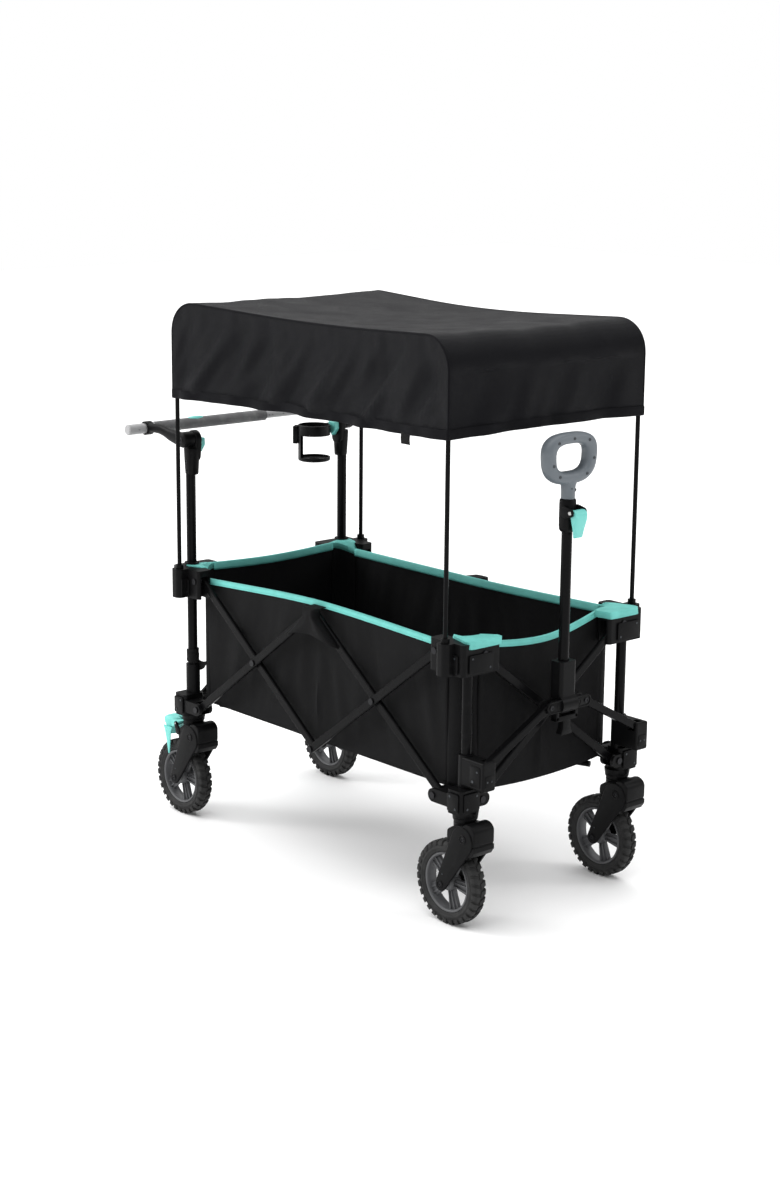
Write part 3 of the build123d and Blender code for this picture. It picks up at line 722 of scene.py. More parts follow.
POLE_R = 0.0048
POLE_FOOT_EXTRA = 0.004
SHEET_GAP = 0.0075
POLE_X = (HOOPS_HIGH.x - HOOPS_LOW.x) / 2 - POLE_R - POLE_FOOT_EXTRA
POLE_Y = HOOPS_HIGH.y - POLE_R - POLE_FOOT_EXTRA
HOOP_TOP = HOOPS_HIGH.z - POLE_R
HOOP_BOW, HOOP_SAG, HOOP_CORNER = 0.034, 0.018, 0.062
COVER_X = POLE_X + SHEET_GAP
COVER_Y = POLE_Y + SHEET_GAP
COVER_TOP = HOOP_TOP + SHEET_GAP
COVER_CORNER = HOOP_CORNER + SHEET_GAP
# What the drops on both sides are taken to add to the cover's flat size, with their hems.
SIDE_FOLD, SIDE_PUCKER, SIDE_FLARE = 0.0165, 0.0042, 0.004
END_FOLD, END_SOFT, END_HOLLOW = 0.0095, 0.006, 0.003
TOP_SAG, TOP_RIPPLE = 0.007, 0.0035


def hoop_dip(x):
    """How far a hoop's top run is along its bow and sag at x: 0 at the poles and about 0.8 at the middle."""
    depth = math.hypot(HOOP_BOW, HOOP_SAG)
    radius = 0.45 * POLE_X**2 / depth
    bend = radius * math.tan(math.atan2(depth, POLE_X))
    x = min(abs(x), POLE_X)
    if x > bend:
        return 1 - x / POLE_X
    return 1 - bend / POLE_X + (bend**2 - x**2) / (2 * radius) / depth


def cover_side(x):
    """Half the cover's width at x."""
    return COVER_Y - HOOP_BOW * hoop_dip(x)


def cover_crest(x):
    """Height of the cover's ridge over a hoop at x, with its rounded ends."""
    reach = COVER_X - COVER_CORNER
    height = COVER_TOP - HOOP_SAG * hoop_dip(x)
    if abs(x) > reach:
        over = min(abs(x) - reach, COVER_CORNER)
        height -= COVER_CORNER - math.sqrt(COVER_CORNER**2 - over**2)
    return height


def cover_hem(x, side):
    """Height of the hem under a point on the side panels."""
    share = x / COVER_X
    front, rear, mid = 1.003, 0.988, 0.995
    level = mid + (front - mid) * max(share, 0) ** 2 + (rear - mid) * max(-share, 0) ** 2
    return level + 0.0025 * wave_noise(x * 9, side * 3.1, 4.0)


def cover_columns():
    """x of the grid's columns: even along the top and by angle round the rounded ends."""
    reach = COVER_X - COVER_CORNER
    turn, even = 9, 62
    ends = [reach + COVER_CORNER * math.sin(math.pi / 2 * i / turn) for i in range(1, turn + 1)]
    flat = [-reach + 2 * reach * i / even for i in range(even + 1)]
    return [-x for x in reversed(ends)] + flat + ends


def side_drape(x, fall, depth, side):
    """How far the side panel hangs outwards, at fall below the ridge of a panel depth deep."""
    share = fall / depth
    loose = smoothstep(0.0, 0.5, share) * (1 - 0.45 * smoothstep(0.78, 1.0, share))
    away = 1 - smoothstep(COVER_X - 0.05, COVER_X - 0.005, abs(x))
    lean = 0.75 if side < 0 else -0.60
    folds = fold_field(x, fall, 3.7 + side, lean, 0.072, 0.26) * SIDE_FOLD * loose
    below_seam = math.exp(-fall / 0.050) * smoothstep(0, 0.012, fall)
    puckers = wave_noise(x * 42, fall * 9, 8.0 + side) * SIDE_PUCKER * below_seam
    flare = -SIDE_FLARE * math.sin(math.pi * min(share, 1.0)) + 0.003 * share
    return (folds + puckers + flare) * away


def end_drape(y, fall, depth, end):
    """How far the front or rear panel hangs outwards."""
    share = fall / depth
    away = 1 - smoothstep(COVER_Y - 0.045, COVER_Y - 0.006, abs(y))
    folds = fold_field(y, fall, 11.2 + end, 0.25 * end, 0.085, 0.20) * END_FOLD * smoothstep(0.02, 0.8, share)
    soft = END_SOFT * wave_noise(y * 9, end * 5 + fall * 6, 2.2) * math.exp(-fall / 0.09)
    return (folds + soft - END_HOLLOW * math.sin(math.pi * min(share, 1.0))) * away


def cover_top_point(x, across):
    """A point of the top at x, with across from -1 on the right hoop to 1 on the left one."""
    half = cover_side(x)
    y = across * half
    middle_share = 1 - across**2
    long_share = 1 - (x / COVER_X) ** 2
    sag = TOP_SAG * middle_share * (0.35 + 0.65 * max(long_share, 0))
    ripple = TOP_RIPPLE * fold_field(y, x, 21.0, 0.2, 0.10, 0.5) * middle_share
    return Vector((x, y, cover_crest(x) - sag + ripple))


def side_column(x, side, rows):
    """Points of the side panel at x, from the ridge down to the hem."""
    top, hem = cover_crest(x), cover_hem(x, side)
    points = []
    for i in range(rows + 1):
        z = top + (hem - top) * (i / rows)
        out = side_drape(x, top - z, top - hem, side)
        points.append(Vector((x, side * (cover_side(x) + out), z)))
    return points


def end_row(end, level, across_steps):
    """Points across the front or rear panel. level is 0 at the foot of the rounded end and 1 at the hem."""
    start = COVER_TOP - COVER_CORNER
    points = []
    for i in range(across_steps + 1):
        across = -1 + 2 * i / across_steps
        y = across * COVER_Y
        hem = cover_hem(end * COVER_X, math.copysign(1, across)) + 0.004 * (1 - across**2)
        z = start + (hem - start) * level
        out = end_drape(y, start - z + 0.05, start - hem + 0.05, end)
        points.append(Vector((end * (COVER_X + out), y, z)))
    return points


def sewn(name, patches, material):
    """One mesh from grids of points that share their edges."""
    verts, index, faces = [], {}, []

    def add(point):
        key = tuple(round(c, 6) for c in point)
        if key not in index:
            index[key] = len(verts)
            verts.append(point)
        return index[key]

    for rows in patches:
        ids = [[add(p) for p in row] for row in rows]
        for first, second in zip(ids, ids[1:]):
            for c in range(len(first) - 1):
                corners = tuple(dict.fromkeys((first[c], first[c + 1], second[c + 1], second[c])))
                if len(corners) > 2:
                    faces.append(corners)
    return closed_mesh(name, [v + Vector((CENTRE_X, 0, 0)) for v in verts], faces, material)


def box_uvs(obj):
    """UVs in metres, projected along each face's main direction."""
    mesh = obj.data
    layer = mesh.uv_layers.active or mesh.uv_layers.new(name="UVMap")
    for face in mesh.polygons:
        sizes = [abs(c) for c in face.normal]
        flat = sizes.index(max(sizes))
        first, second = [a for a in range(3) if a != flat]
        for loop in face.loop_indices:
            place = mesh.vertices[mesh.loops[loop].vertex_index].co
            layer.data[loop].uv = (place[first], place[second])
    return obj


def boundary_loop(obj):
    """The points round a sheet's open edge, in order."""
    bm = bmesh.new()
    bm.from_mesh(obj.data)
    edges = [e for e in bm.edges if e.is_boundary]
    start = edges[0]
    loop, vert, edge = [start.verts[0].co.copy()], start.verts[1], start
    while vert != start.verts[0]:
        loop.append(vert.co.copy())
        edge = next(e for e in vert.link_edges if e in edges and e != edge)
        vert = edge.other_vert(vert)
    bm.free()
    return loop


def binding(name, line, profile, material, closed=False, outward=None):
    """A folded tape along an edge. profile is (out, up) from the line.

    It faces outward if that is given, and away from the wagon's middle if not.
    """
    count = len(line)
    rows = [[] for _row in profile]
    for i, point in enumerate(line):
        before = line[(i - 1) % count] if closed or i else line[0]
        after = line[(i + 1) % count] if closed or i < count - 1 else line[-1]
        along = (after - before).normalized()
        out = Vector((along.y, -along.x, 0)).normalized()
        if out.dot(outward or point - Vector((CENTRE_X, 0, point.z))) < 0:
            out = -out
        for row, (away, up) in zip(rows, profile):
            row.append(point + out * away + Vector((0, 0, up)))
    obj = grid_object(name, rows, material, closed_columns=closed)
    fix_normals(obj)
    return obj


HEM_PROFILE = [
    (0.0020, 0.019), (0.0026, 0.017), (0.0026, 0.004), (0.0018, 0.0), (0.0002, -0.0012), (-0.0016, 0.0),
    (-0.0022, 0.004), (-0.0022, 0.017),
]


def build_canopy():
    """The canopy's cloth as one sheet of top, side panels and end drops, with its hem and piping."""
    columns = cover_columns()
    across_steps, rows_down = 44, 24
    top = [[cover_top_point(x, -1 + 2 * i / across_steps) for i in range(across_steps + 1)] for x in columns]
    patches, drops = [top], {}
    for end in (-1, 1):
        rows = [top[0 if end < 0 else -1]]
        rows += [end_row(end, i / rows_down, across_steps) for i in range(1, rows_down + 1)]
        drops[end] = rows
        patches.append(rows)
    for side in (-1, 1):
        edge = 0 if side < 0 else -1
        inner = [side_column(x, side, rows_down) for x in columns[1:-1]]
        patches.append([[row[edge] for row in drops[-1]], *inner, [row[edge] for row in drops[1]]])
    cover = sewn("canopy_cover", patches, CANOPY_CLOTH)
    hem = binding("canopy_hem", boundary_loop(cover), HEM_PROFILE, CANOPY_TAPE, closed=True)
    bevelled(cover, 0.0065, 3, 50)
    box_uvs(cover)
    thickened(cover, 0.0012, 0.0)
    piping = [build_piping(side) for side in SIDES]
    for piece in (cover, hem, *piping):
        settle(piece, "canopy")
    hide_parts("canopy_fabric")


def build_piping(side):
    """The seam piping along one hoop and down the two poles, just inside the cover's sharp edge."""
    sign, inset, steps = SIDES[side], 0.0012, 12
    start = COVER_TOP - COVER_CORNER
    drops = {}
    for end in (-1, 1):
        foot = cover_hem(end * COVER_X, sign) + 0.018
        x, y = end * (COVER_X - inset), sign * (COVER_Y - inset)
        drops[end] = [Vector((x, y, start + (foot - start) * k / steps)) for k in range(1, steps + 1)]
    run = [
        Vector((x * 0.9975, sign * (cover_side(x) - inset), cover_crest(x) - inset)) for x in cover_columns()
    ]
    line = [point + Vector((CENTRE_X, 0, 0)) for point in (*reversed(drops[-1]), *run, *drops[1])]
    return tube(f"canopy_piping_{side}", line, 0.0025, CANOPY_TAPE, sides=8)


# ---------------------------------------------------------------- basket

WALL_X, WALL_Y = BASKET_HIGH.x - CENTRE_X, BASKET_HIGH.y
WALL_CORNER = 0.042
WALL_T = 0.0035
WALL_FOLD, WALL_GATHER = 0.0068, 0.0042
LONG_END, SHORT_END = WALL_X - WALL_CORNER, WALL_Y - WALL_CORNER
FLOOR_Z = BASKET_LOW.z

# For each wall: the body that carries it, and its rim's height at the rear or right end, the middle, and the
# front or left end.
WALLS = {
    "right": ("rear_right_upper", (0.575, 0.594, 0.581)),
    "left": ("rear_left_upper", (0.586, 0.586, 0.595)),
    "rear": ("rear_right_upper", (0.600, 0.594, 0.600)),
    "front": ("front_right_upper", (0.587, 0.569, 0.602)),
}


def wall_place(wall, u):
    """Plan point of a wall's outer face, and its outward normal. u runs from -1 to 1, towards +X or +Y."""
    if wall in SIDES:
        return Vector((u * LONG_END, SIDES[wall] * WALL_Y, 0)), Vector((0, SIDES[wall], 0))
    return Vector((ENDS[wall] * WALL_X, u * SHORT_END, 0)), Vector((ENDS[wall], 0, 0))


def rim_height(wall, u):
    start, mid, end = WALLS[wall][1]
    edge = start if u < 0 else end
    power = 2.2 if wall in ENDS else 1.7
    return mid + (edge - mid) * smooth_power(abs(u), power)


def smooth_power(value, power):
    return smoothstep(0, 1, value) * 0.35 + 0.65 * value**power


def wall_foot(wall, u):
    """Height of a wall's lower edge."""
    if wall == "front":
        return FLOOR_Z - 0.004 - 0.010 * (1 - u * u)
    if wall == "rear":
        return FLOOR_Z + 0.002 - 0.004 * (1 - u * u)
    return FLOOR_Z + 0.007 - 0.004 * (1 - u * u)


def wall_bulge(wall, u, share, length):
    """How far a wall stands outwards: soft folds and a slack belly between its held edges."""
    held = math.sin(math.pi * min(max(share, 0), 1)) ** 0.7 if 0 < share < 1 else 0.0
    ends = 1 - smoothstep(0.86, 1.0, abs(u))
    seed = 31.0 + 5 * list(WALLS).index(wall)
    along = u * length / 2
    folds = WALL_FOLD * fold_field(along, share * 0.3, seed, 0.25 * math.copysign(1, u), 0.055, 0.40)
    near_middle = math.exp(-((along / 0.11) ** 2)) * (1 - share)
    gathers = WALL_GATHER * math.sin(along * 105 + 2 * math.sin(share * 3)) * near_middle
    belly = 0.003 - 0.006 * (1 - share) ** 2
    return (folds * held + gathers * held) * ends + belly * held


def build_wall(wall):
    """One wall of the basket: outer cloth with the liner as its inner face, and the bound rim."""
    length = 2 * (LONG_END if wall in SIDES else SHORT_END)
    steps, rows_up = (96, 30) if wall in SIDES else (48, 30)
    outward = wall_place(wall, 0)[1]
    rows = []
    for j in range(rows_up + 1):
        share = j / rows_up
        row = []
        for i in range(steps + 1):
            u = -1 + 2 * i / steps
            place, normal = wall_place(wall, u)
            foot, top = wall_foot(wall, u), rim_height(wall, u)
            point = place + normal * wall_bulge(wall, u, share, length)
            point += Vector((CENTRE_X, 0, foot + (top - foot) * share))
            row.append(point)
        rows.append(row)
    cloth = grid_object(f"basket_wall_{wall}", rows, BASKET_CLOTH)
    cloth.data.materials.append(LINER_CLOTH)
    orient(cloth, outward)
    thickened(cloth, WALL_T, -1.0, inner=1)
    trim = binding(f"basket_rim_{wall}", rows[-1], RIM_PROFILE, TAPE, outward=outward)
    thickened(trim, 0.0012, 0.0)
    for piece in (cloth, trim):
        hang(piece, wall)


RIM_PROFILE = [
    (0.0016, -0.0100), (0.0024, -0.0092), (0.0026, -0.0030), (0.0018, 0.0012), (-0.0012, 0.0024),
    (-0.0040, 0.0020), (-0.0054, -0.0005), (-0.0056, -0.0100), (-0.0050, -0.0150),
]


def orient(obj, outward):
    """Turns a sheet's faces to the given side."""
    total = Vector((0, 0, 0))
    for face in obj.data.polygons:
        total += face.normal * face.area
    if total.dot(outward) < 0:
        obj.data.flip_normals()


def hang(piece, wall):
    """Lets a piece of a wall ride on the wall's body."""
    body = WALLS[wall][0]
    if wall in SIDES:
        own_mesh(piece)
    else:
        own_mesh(piece)
    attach(piece, body)


def corner_point(signs, turn, radius, height):
    """A point round a basket corner: turn 0 is the end of the long wall and 1 the end of the short one."""
    angle = turn * math.pi / 2
    x = signs[0] * (LONG_END + radius * math.sin(angle))
    y = signs[1] * (SHORT_END + radius * math.cos(angle))
    return Vector((CENTRE_X + x, y, height))


def corner_heights(corner, turn):
    """Foot and rim height round a corner, between its two walls."""
    end, side = corner.split("_")
    signs = CORNERS[corner]
    long_top, short_top = rim_height(side, signs[0]), rim_height(end, signs[1])
    long_foot, short_foot = wall_foot(side, signs[0]), wall_foot(end, signs[1])
    share = smoothstep(0, 1, turn)
    return long_foot + (short_foot - long_foot) * share, long_top + (short_top - long_top) * share


def build_corner(corner):
    """The cloth that turns a basket corner, and the teal gusset that ties it to the top bracket."""
    signs = CORNERS[corner]
    steps, rows_up = 12, 30
    rows = []
    for j in range(rows_up + 1):
        row = []
        for i in range(steps + 1):
            turn = i / steps
            foot, top = corner_heights(corner, turn)
            row.append(corner_point(signs, turn, WALL_CORNER, foot + (top - foot) * j / rows_up))
        rows.append(row)
    cloth = grid_object(f"basket_corner_{corner}", rows, BASKET_CLOTH)
    cloth.data.materials.append(LINER_CLOTH)
    orient(cloth, Vector((signs[0], signs[1], 0)))
    thickened(cloth, WALL_T, -1.0, inner=1)
    settle(cloth, f"{corner}_upper")
    gusset = build_gusset(corner)


def build_gusset(corner):
    """The flat teal piece over a corner bracket, from the liner's rounded corner out to the canopy pole."""
    signs = CORNERS[corner]
    front = signs[0] > 0
    steps, across = 60, 9
    cloth_lift, inner_drop, outer_lean = 0.002, 0.013, 0.0012
    top = BRACKET_TOP + (0.0050 if front else 0.0026)
    lip = 0.0145 if front else 0.0105
    outline = gusset_outline(front)
    rows = [[] for _row in range(across + 3)]
    for i in range(steps + 1):
        turn = i / steps
        rim = corner_heights(corner, turn)[1]
        inner = corner_point(signs, turn, WALL_CORNER - WALL_T - 0.001, rim + cloth_lift)
        edge = along_path(outline, turn)
        lift = smoothstep(0.0, 0.3, min(turn * 2, (1 - turn) * 2.6))
        outer_z = rim + cloth_lift + (max(top, rim + cloth_lift) - rim - cloth_lift) * lift
        outer = Vector((CENTRE_X + signs[0] * edge.x, signs[1] * edge.y, outer_z))
        for j in range(across + 1):
            share = j / across
            point = inner.lerp(outer, share)
            point.z = inner.z + (outer.z - inner.z) * smoothstep(0, 0.24, share)
            rows[j + 1].append(point)
        rows[0].append(inner + Vector((0, 0, -inner_drop)))
        away = Vector((signs[0] * outer_lean, signs[1] * outer_lean, -lip))
        rows[-1].append(outer + away)
    gusset = grid_object(f"basket_gusset_{corner}", rows, TAPE)
    fix_normals(gusset)
    orient(gusset, Vector((0, 0, 1)))
    thickened(gusset, 0.0016, -1.0)
    settle(gusset, f"{corner}_upper")
    return gusset


def gusset_outline(front):
    """Outer edge of a gusset in plan, from the long wall's end to the short wall's, with rounded turns."""
    clear = 0.004
    start, end = (LONG_END, WALL_Y + clear), (WALL_X + clear, SHORT_END)
    if front:
        # The front gussets reach over their bracket's front face and on towards the middle, to lobe_end.
        face, lobe_end, outside = BRACKET_REACH + 0.0018, 0.1550, POST_Y + 0.0215
        points = [
            start,
            (POST_X - 0.010, POST_Y + 0.014),
            (POST_X + 0.010, outside),
            (face - 0.006, outside),
            (face, POST_Y + 0.014),
            (face, POST_Y - 0.010),
            (face, lobe_end + clear),
            (face - clear, lobe_end - 0.001),
            (WALL_X + clear, lobe_end - 0.003),
        ]
    else:
        points = [start, (POST_X + 0.012, POST_Y + 0.026), end]
    return smooth_path([Vector(point) for point in points])


def smooth_path(points):
    """A path with its corners cut off twice, between its two ends."""
    for _round in range(2):
        inner = [a.lerp(b, share) for a, b in zip(points, points[1:]) for share in (0.25, 0.75)]
        points = [points[0], *inner, points[-1]]
    return points


def along_path(points, share):
    """The point at a share of a path's length."""
    lengths = [(b - a).length for a, b in zip(points, points[1:])]
    left = share * sum(lengths)
    for a, b, length in zip(points, points[1:], lengths):
        if left <= length and length > 0:
            return a.lerp(b, left / length)
        left -= length
    return points[-1]


def build_floor():
    """The floor pad in three parts that stack up as the wagon folds, with quilted seams."""
    kept_y = 2 * WALL_Y - FOLD_Y
    split_y = -WALL_Y + kept_y
    split_x = CENTRE_X + WALL_X - FOLD_X
    gap = 0.006
    rear_x, front_x = CENTRE_X - WALL_X + gap, CENTRE_X + WALL_X - gap
    right_y, left_y = -WALL_Y + gap, WALL_Y - gap
    right = floor_pad("basket_floor_right", (rear_x, front_x), (right_y, split_y), 8, 2)
    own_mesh(right)
    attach(right, "rear_right_upper")
    rear = floor_pad("basket_floor_left_rear", (rear_x, split_x), (split_y, left_y), 4, 2)
    front = floor_pad("basket_floor_left_front", (split_x, front_x), (split_y, left_y), 4, 2)
    for piece, body in ((rear, "rear_right_upper"), (front, "front_right_upper")):
        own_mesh(piece)
        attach(piece, body)
    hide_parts("basket")


def floor_pad(name, x_range, y_range, x_panels, y_panels):
    """A thin quilted pad over a flat underside."""
    per_panel, thick, underside = 9, 0.012, FLOOR_Z + 0.0005
    nx, ny = x_panels * per_panel, y_panels * per_panel

    def height(i, j):
        """Height of the quilted top: low along seams and edges."""
        su = abs(math.sin(math.pi * i / per_panel)) ** 0.45
        sv = abs(math.sin(math.pi * j / per_panel)) ** 0.45
        return FLOOR_Z + 0.004 + thick * (0.45 + 0.55 * su * sv)

    top = []
    for j in range(ny + 1):
        y = y_range[0] + (y_range[1] - y_range[0]) * j / ny
        top.append([
            Vector((x_range[0] + (x_range[1] - x_range[0]) * i / nx, y, height(i, j)))
            for i in range(nx + 1)
        ])
    bottom = [[Vector((p.x, p.y, underside)) for p in row] for row in top]
    patches = [top, bottom]
    for end in (0, -1):
        patches.append([top[end], bottom[end]])
    for end in (0, -1):
        patches.append([[row[end] for row in top], [row[end] for row in bottom]])
    patches = [[[p - Vector((CENTRE_X, 0, 0)) for p in row] for row in rows] for rows in patches]
    pad = sewn(name, patches, LINER_CLOTH)
    return box_uvs(pad)


# ---------------------------------------------------------------- shapes shared by the moulded parts

def two_circles(first, second, steps=20):
    """Outline round two circles, each (a, b, radius)."""
    (ax, az, ar), (bx, bz, br) = first, second
    along = math.atan2(bz - az, bx - ax)
    lean = math.acos((ar - br) / math.hypot(bx - ax, bz - az))
    points = []
    for x, z, radius, start, sweep in (
        (ax, az, ar, along + lean, math.tau - 2 * lean),
        (bx, bz, br, along - lean, 2 * lean),
    ):
        for i in range(steps + 1):
            angle = start + sweep * i / steps
            points.append((x + radius * math.cos(angle), z + radius * math.sin(angle)))
    return points


def rounded(points, radius, steps=5):
    """A polygon with its corners rounded, as far as its sides allow."""
    done = []
    for i, corner in enumerate(points):
        here = Vector(corner)
        before, after = Vector(points[i - 1]), Vector(points[(i + 1) % len(points)])
        a, b = before - here, after - here
        reach = min(radius, a.length * 0.48, b.length * 0.48)
        start, end = here + a.normalized() * reach, here + b.normalized() * reach
        for k in range(steps + 1):
            t = k / steps
            done.append(tuple(start * (1 - t) ** 2 + here * 2 * t * (1 - t) + end * t**2))
    return done


def squircle(turn, half_a, half_b, power):
    """A point on a rounded box's outline."""
    c, s = math.cos(turn), math.sin(turn)
    return math.copysign(abs(c) ** power, c) * half_a, math.copysign(abs(s) ** power, s) * half_b


def level_ring(centre, half_x, half_y, power=0.7, steps=32):
    """A level rounded ring round a point."""
    ring = []
    for i in range(steps):
        dx, dy = squircle(math.tau * i / steps, half_x, half_y, power)
        ring.append(Vector(centre) + Vector((dx, dy, 0)))
    return ring


def loft(name, rings, material):
    """A closed skin over rings with the same number of points."""
    count = len(rings[0])
    verts = [p for ring in rings for p in ring]
    faces = []
    for r in range(len(rings) - 1):
        for i in range(count):
            j = (i + 1) % count
            faces.append((r * count + i, r * count + j, (r + 1) * count + j, (r + 1) * count + i))
    faces.append(tuple(range(count)))
    faces.append(tuple(range(len(verts) - 1, len(verts) - 1 - count, -1)))
    return shade_smooth(closed_mesh(name, verts, faces, material))


def stacked(name, x, y, levels, power, material, steps=32):
    """A closed skin over level rings round (x, y). levels holds (height, half length, half width)."""
    rings = [level_ring((x, y, z), long, wide, power, steps) for z, long, wide in levels]
    return loft(name, rings, material)


def rectangle(left, low, right, high):
    return [(left, low), (right, low), (right, high), (left, high)]


def slab(name, outline, centre, half, axis, material, bevel, segments=2):
    """A plate that reaches half its thickness to both sides of centre."""
    return prism(name, outline, centre - half, centre + half, axis, material, bevel, segments)


def plate_beyond(name, outline, side, near, far, axis, material, bevel, segments=2):
    """A plate from near to far, measured to one side (-1 or 1) of zero along an axis."""
    return prism(name, outline, *sorted((side * near, side * far)), axis, material, bevel, segments)


def rod(name, radius, low, high, place, axis, material, edge=0.0008, steps=28):
    """A round bar with softened ends."""
    profile = [
        (0.0, low), (radius - edge, low), (radius, low + edge), (radius, high - edge), (radius - edge, high),
        (0.0, high),
    ]
    return lathe(name, profile, place, axis, material, steps)


def screw(place, side, radius, axis="y"):
    """A screw head with a sunk socket, facing out along one axis."""
    profile = [
        (0.0, 0.0003), (radius * 0.42, 0.0003), (radius * 0.46, 0.0014), (radius * 0.85, 0.0016),
        (radius, 0.0008), (radius, -0.0008),
    ]
    return lathe("screw", profile, place, axis, DARK_STEEL, 20, side)


def well_shade_screw(place, radius, axis="x", side=1):
    """A small screw head, dark with painted shade of the well it sits in."""
    profile = [
        (0.0, 0.0001), (radius * 0.7, 0.0001), (radius * 0.8, 0.0006), (radius, 0.0007),
        (radius * 1.15, -0.0008),
    ]
    # The piece is a shallow raised disc. Its dark colour is painted shade of a well.
    return lathe("well", profile, place, axis, WELL_SHADE_PLASTIC, 16, side)


def finish_piece(name, parts, node_name, body):
    """Joins the parts of one moulded piece, which takes the place of a CAD node if one is named."""
    piece = merged(name, parts)
    if node_name:
        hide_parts(node_name)
    settle(piece, body)


# ---------------------------------------------------------------- casters

TYRE_LOW, TYRE_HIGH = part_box("front_right_tyre")
WHEEL_R = (TYRE_HIGH.z - TYRE_LOW.z) / 2
TYRE_HALF = (TYRE_HIGH.y - TYRE_LOW.y) / 2
TYRE_BED = 0.0632
LUGS, LUG_SHARE, LUG_TWIST = 30, 0.31, 5.0
SPOKES = 5
TRAIL = 0.0385
CHEEK = (0.022, 0.196, 0.030)
STEM_R = 0.0235
SWIVEL_LINE = 0.2289
LEG_OUT = 0.031
NOSE_HALF = 0.0284
AXLE_HALF = 0.0300


def build_tyre(corner):
    """A tyre with a raised ring on each side and two rows of staggered tread blocks."""
    centre = middle(f"{corner}_tyre")
    r, w = WHEEL_R, TYRE_HALF
    half = [
        (TYRE_BED, w - 0.0050), (TYRE_BED + 0.001, w - 0.0032), (0.0672, w - 0.0018), (0.0700, w - 0.0014),
        (0.0710, w - 0.0004), (0.0728, w - 0.0003), (0.0738, w - 0.0014), (0.0760, w - 0.0018),
        (r - 0.0072, w - 0.0026), (r - 0.0045, w - 0.0050), (r - 0.0032, w - 0.0090), (r - 0.0028, 0.0),
    ]
    carcass = lathe("carcass", both_halves(half), centre, "y", RUBBER, 96)
    section = [
        (r - 0.0040, 0.0012), (r - 0.0002, 0.0014), (r - 0.0002, w - 0.0066), (r - 0.0020, w - 0.0016),
        (0.0806, w - 0.0002), (0.0776, w - 0.0004), (0.0776, w - 0.0026), (r - 0.0060, w - 0.0055),
    ]
    verts, faces, count = [], [], len(section)
    half_turn = math.tau / LUGS * LUG_SHARE
    for side in (-1, 1):
        for i in range(LUGS):
            turn = math.tau * (i + (0.5 if side > 0 else 0)) / LUGS
            first = len(verts)
            for edge in (-half_turn, half_turn):
                for radius, along in section:
                    angle = turn + edge + (w - along) * LUG_TWIST
                    spot = Vector((radius * math.sin(angle), side * along, radius * math.cos(angle)))
                    verts.append(centre + spot)
            faces.append(tuple(first + k for k in range(count)))
            faces.append(tuple(first + 2 * count - 1 - k for k in range(count)))
            for k in range(count):
                n = (k + 1) % count
                faces.append((first + k, first + count + k, first + count + n, first + n))
    lugs = closed_mesh("lugs", verts, faces, RUBBER)
    bevelled(lugs, 0.0007, 2, 25)
    finish_piece(f"{corner}_tyre_body", [carcass, lugs], f"{corner}_tyre", f"{corner}_wheel")


def build_rim(corner):
    """A moulded rim: a band with rolled edges, five fan-shaped spokes with twin ribs, and a hub."""
    centre = middle(f"{corner}_tyre")
    w = TYRE_HALF
    half = [
        (TYRE_BED, w - 0.0052), (0.0622, w - 0.0034), (0.0602, w - 0.0030), (0.0586, w - 0.0038),
        (0.0574, w - 0.0060), (0.0566, 0.0),
    ]
    parts = [ring_lathe("band", both_halves(half), centre, "y", RIM_PLASTIC, 72)]
    hub = [
        (0.0052, w - 0.0012), (0.0125, w - 0.0012), (0.0142, w - 0.0024), (0.0172, w - 0.0060), (0.0182, 0.0)
    ]
    parts.append(ring_lathe("hub", both_halves(hub), centre, "y", RIM_PLASTIC, 40))
    fan = (0.0085, 0.0145)
    rib = (0.0011, 0.0013)
    for i in range(SPOKES):
        turn = math.tau * (i + 0.3) / SPOKES
        out, side = Vector((math.sin(turn), 0, math.cos(turn))), Vector((math.cos(turn), 0, -math.sin(turn)))
        for offset, width, depth in ((0.0, fan, 0.0042), (-0.22, rib, 0.0082), (0.22, rib, 0.0082)):
            verts = []
            for reach, wide, shift in ((0.0150, width[0], fan[0]), (0.0590, width[1], fan[1])):
                for along in (-depth, depth):
                    for edge in (-wide, wide):
                        sideways = edge + 2 * offset * shift
                        verts.append(centre + out * reach + side * sideways + Vector((0, along, 0)))
            faces = [(0, 1, 3, 2), (4, 6, 7, 5), (0, 4, 5, 1), (2, 3, 7, 6), (0, 2, 6, 4), (1, 5, 7, 3)]
            spoke = closed_mesh("spoke", verts, faces, RIM_PLASTIC)
            parts.append(bevelled(spoke, 0.0007, 2))
    finish_piece(f"{corner}_rim_body", parts, f"{corner}_rim", f"{corner}_wheel")


NOSE_UPPER = [
    (-0.0240, 0.1900), (-0.0240, 0.2110), (-0.0030, 0.2242), (0.0232, 0.2278), (0.0262, 0.2318),
    (0.0350, 0.2338), (0.0460, 0.2322), (0.0560, 0.2230), (0.0560, 0.1900),
]
NOSE_LOWER = [
    (-0.0240, 0.1888), (0.0560, 0.1888), (0.0560, 0.1790), (0.0475, 0.1672), (0.0220, 0.1672),
    (0.0080, 0.1832), (-0.0240, 0.1832),
]
NOSE_CORE = [
    (-0.0225, 0.1850), (-0.0225, 0.1950), (0.0544, 0.1950), (0.0544, 0.1800), (0.0300, 0.1800),
    (0.0200, 0.1850),
]


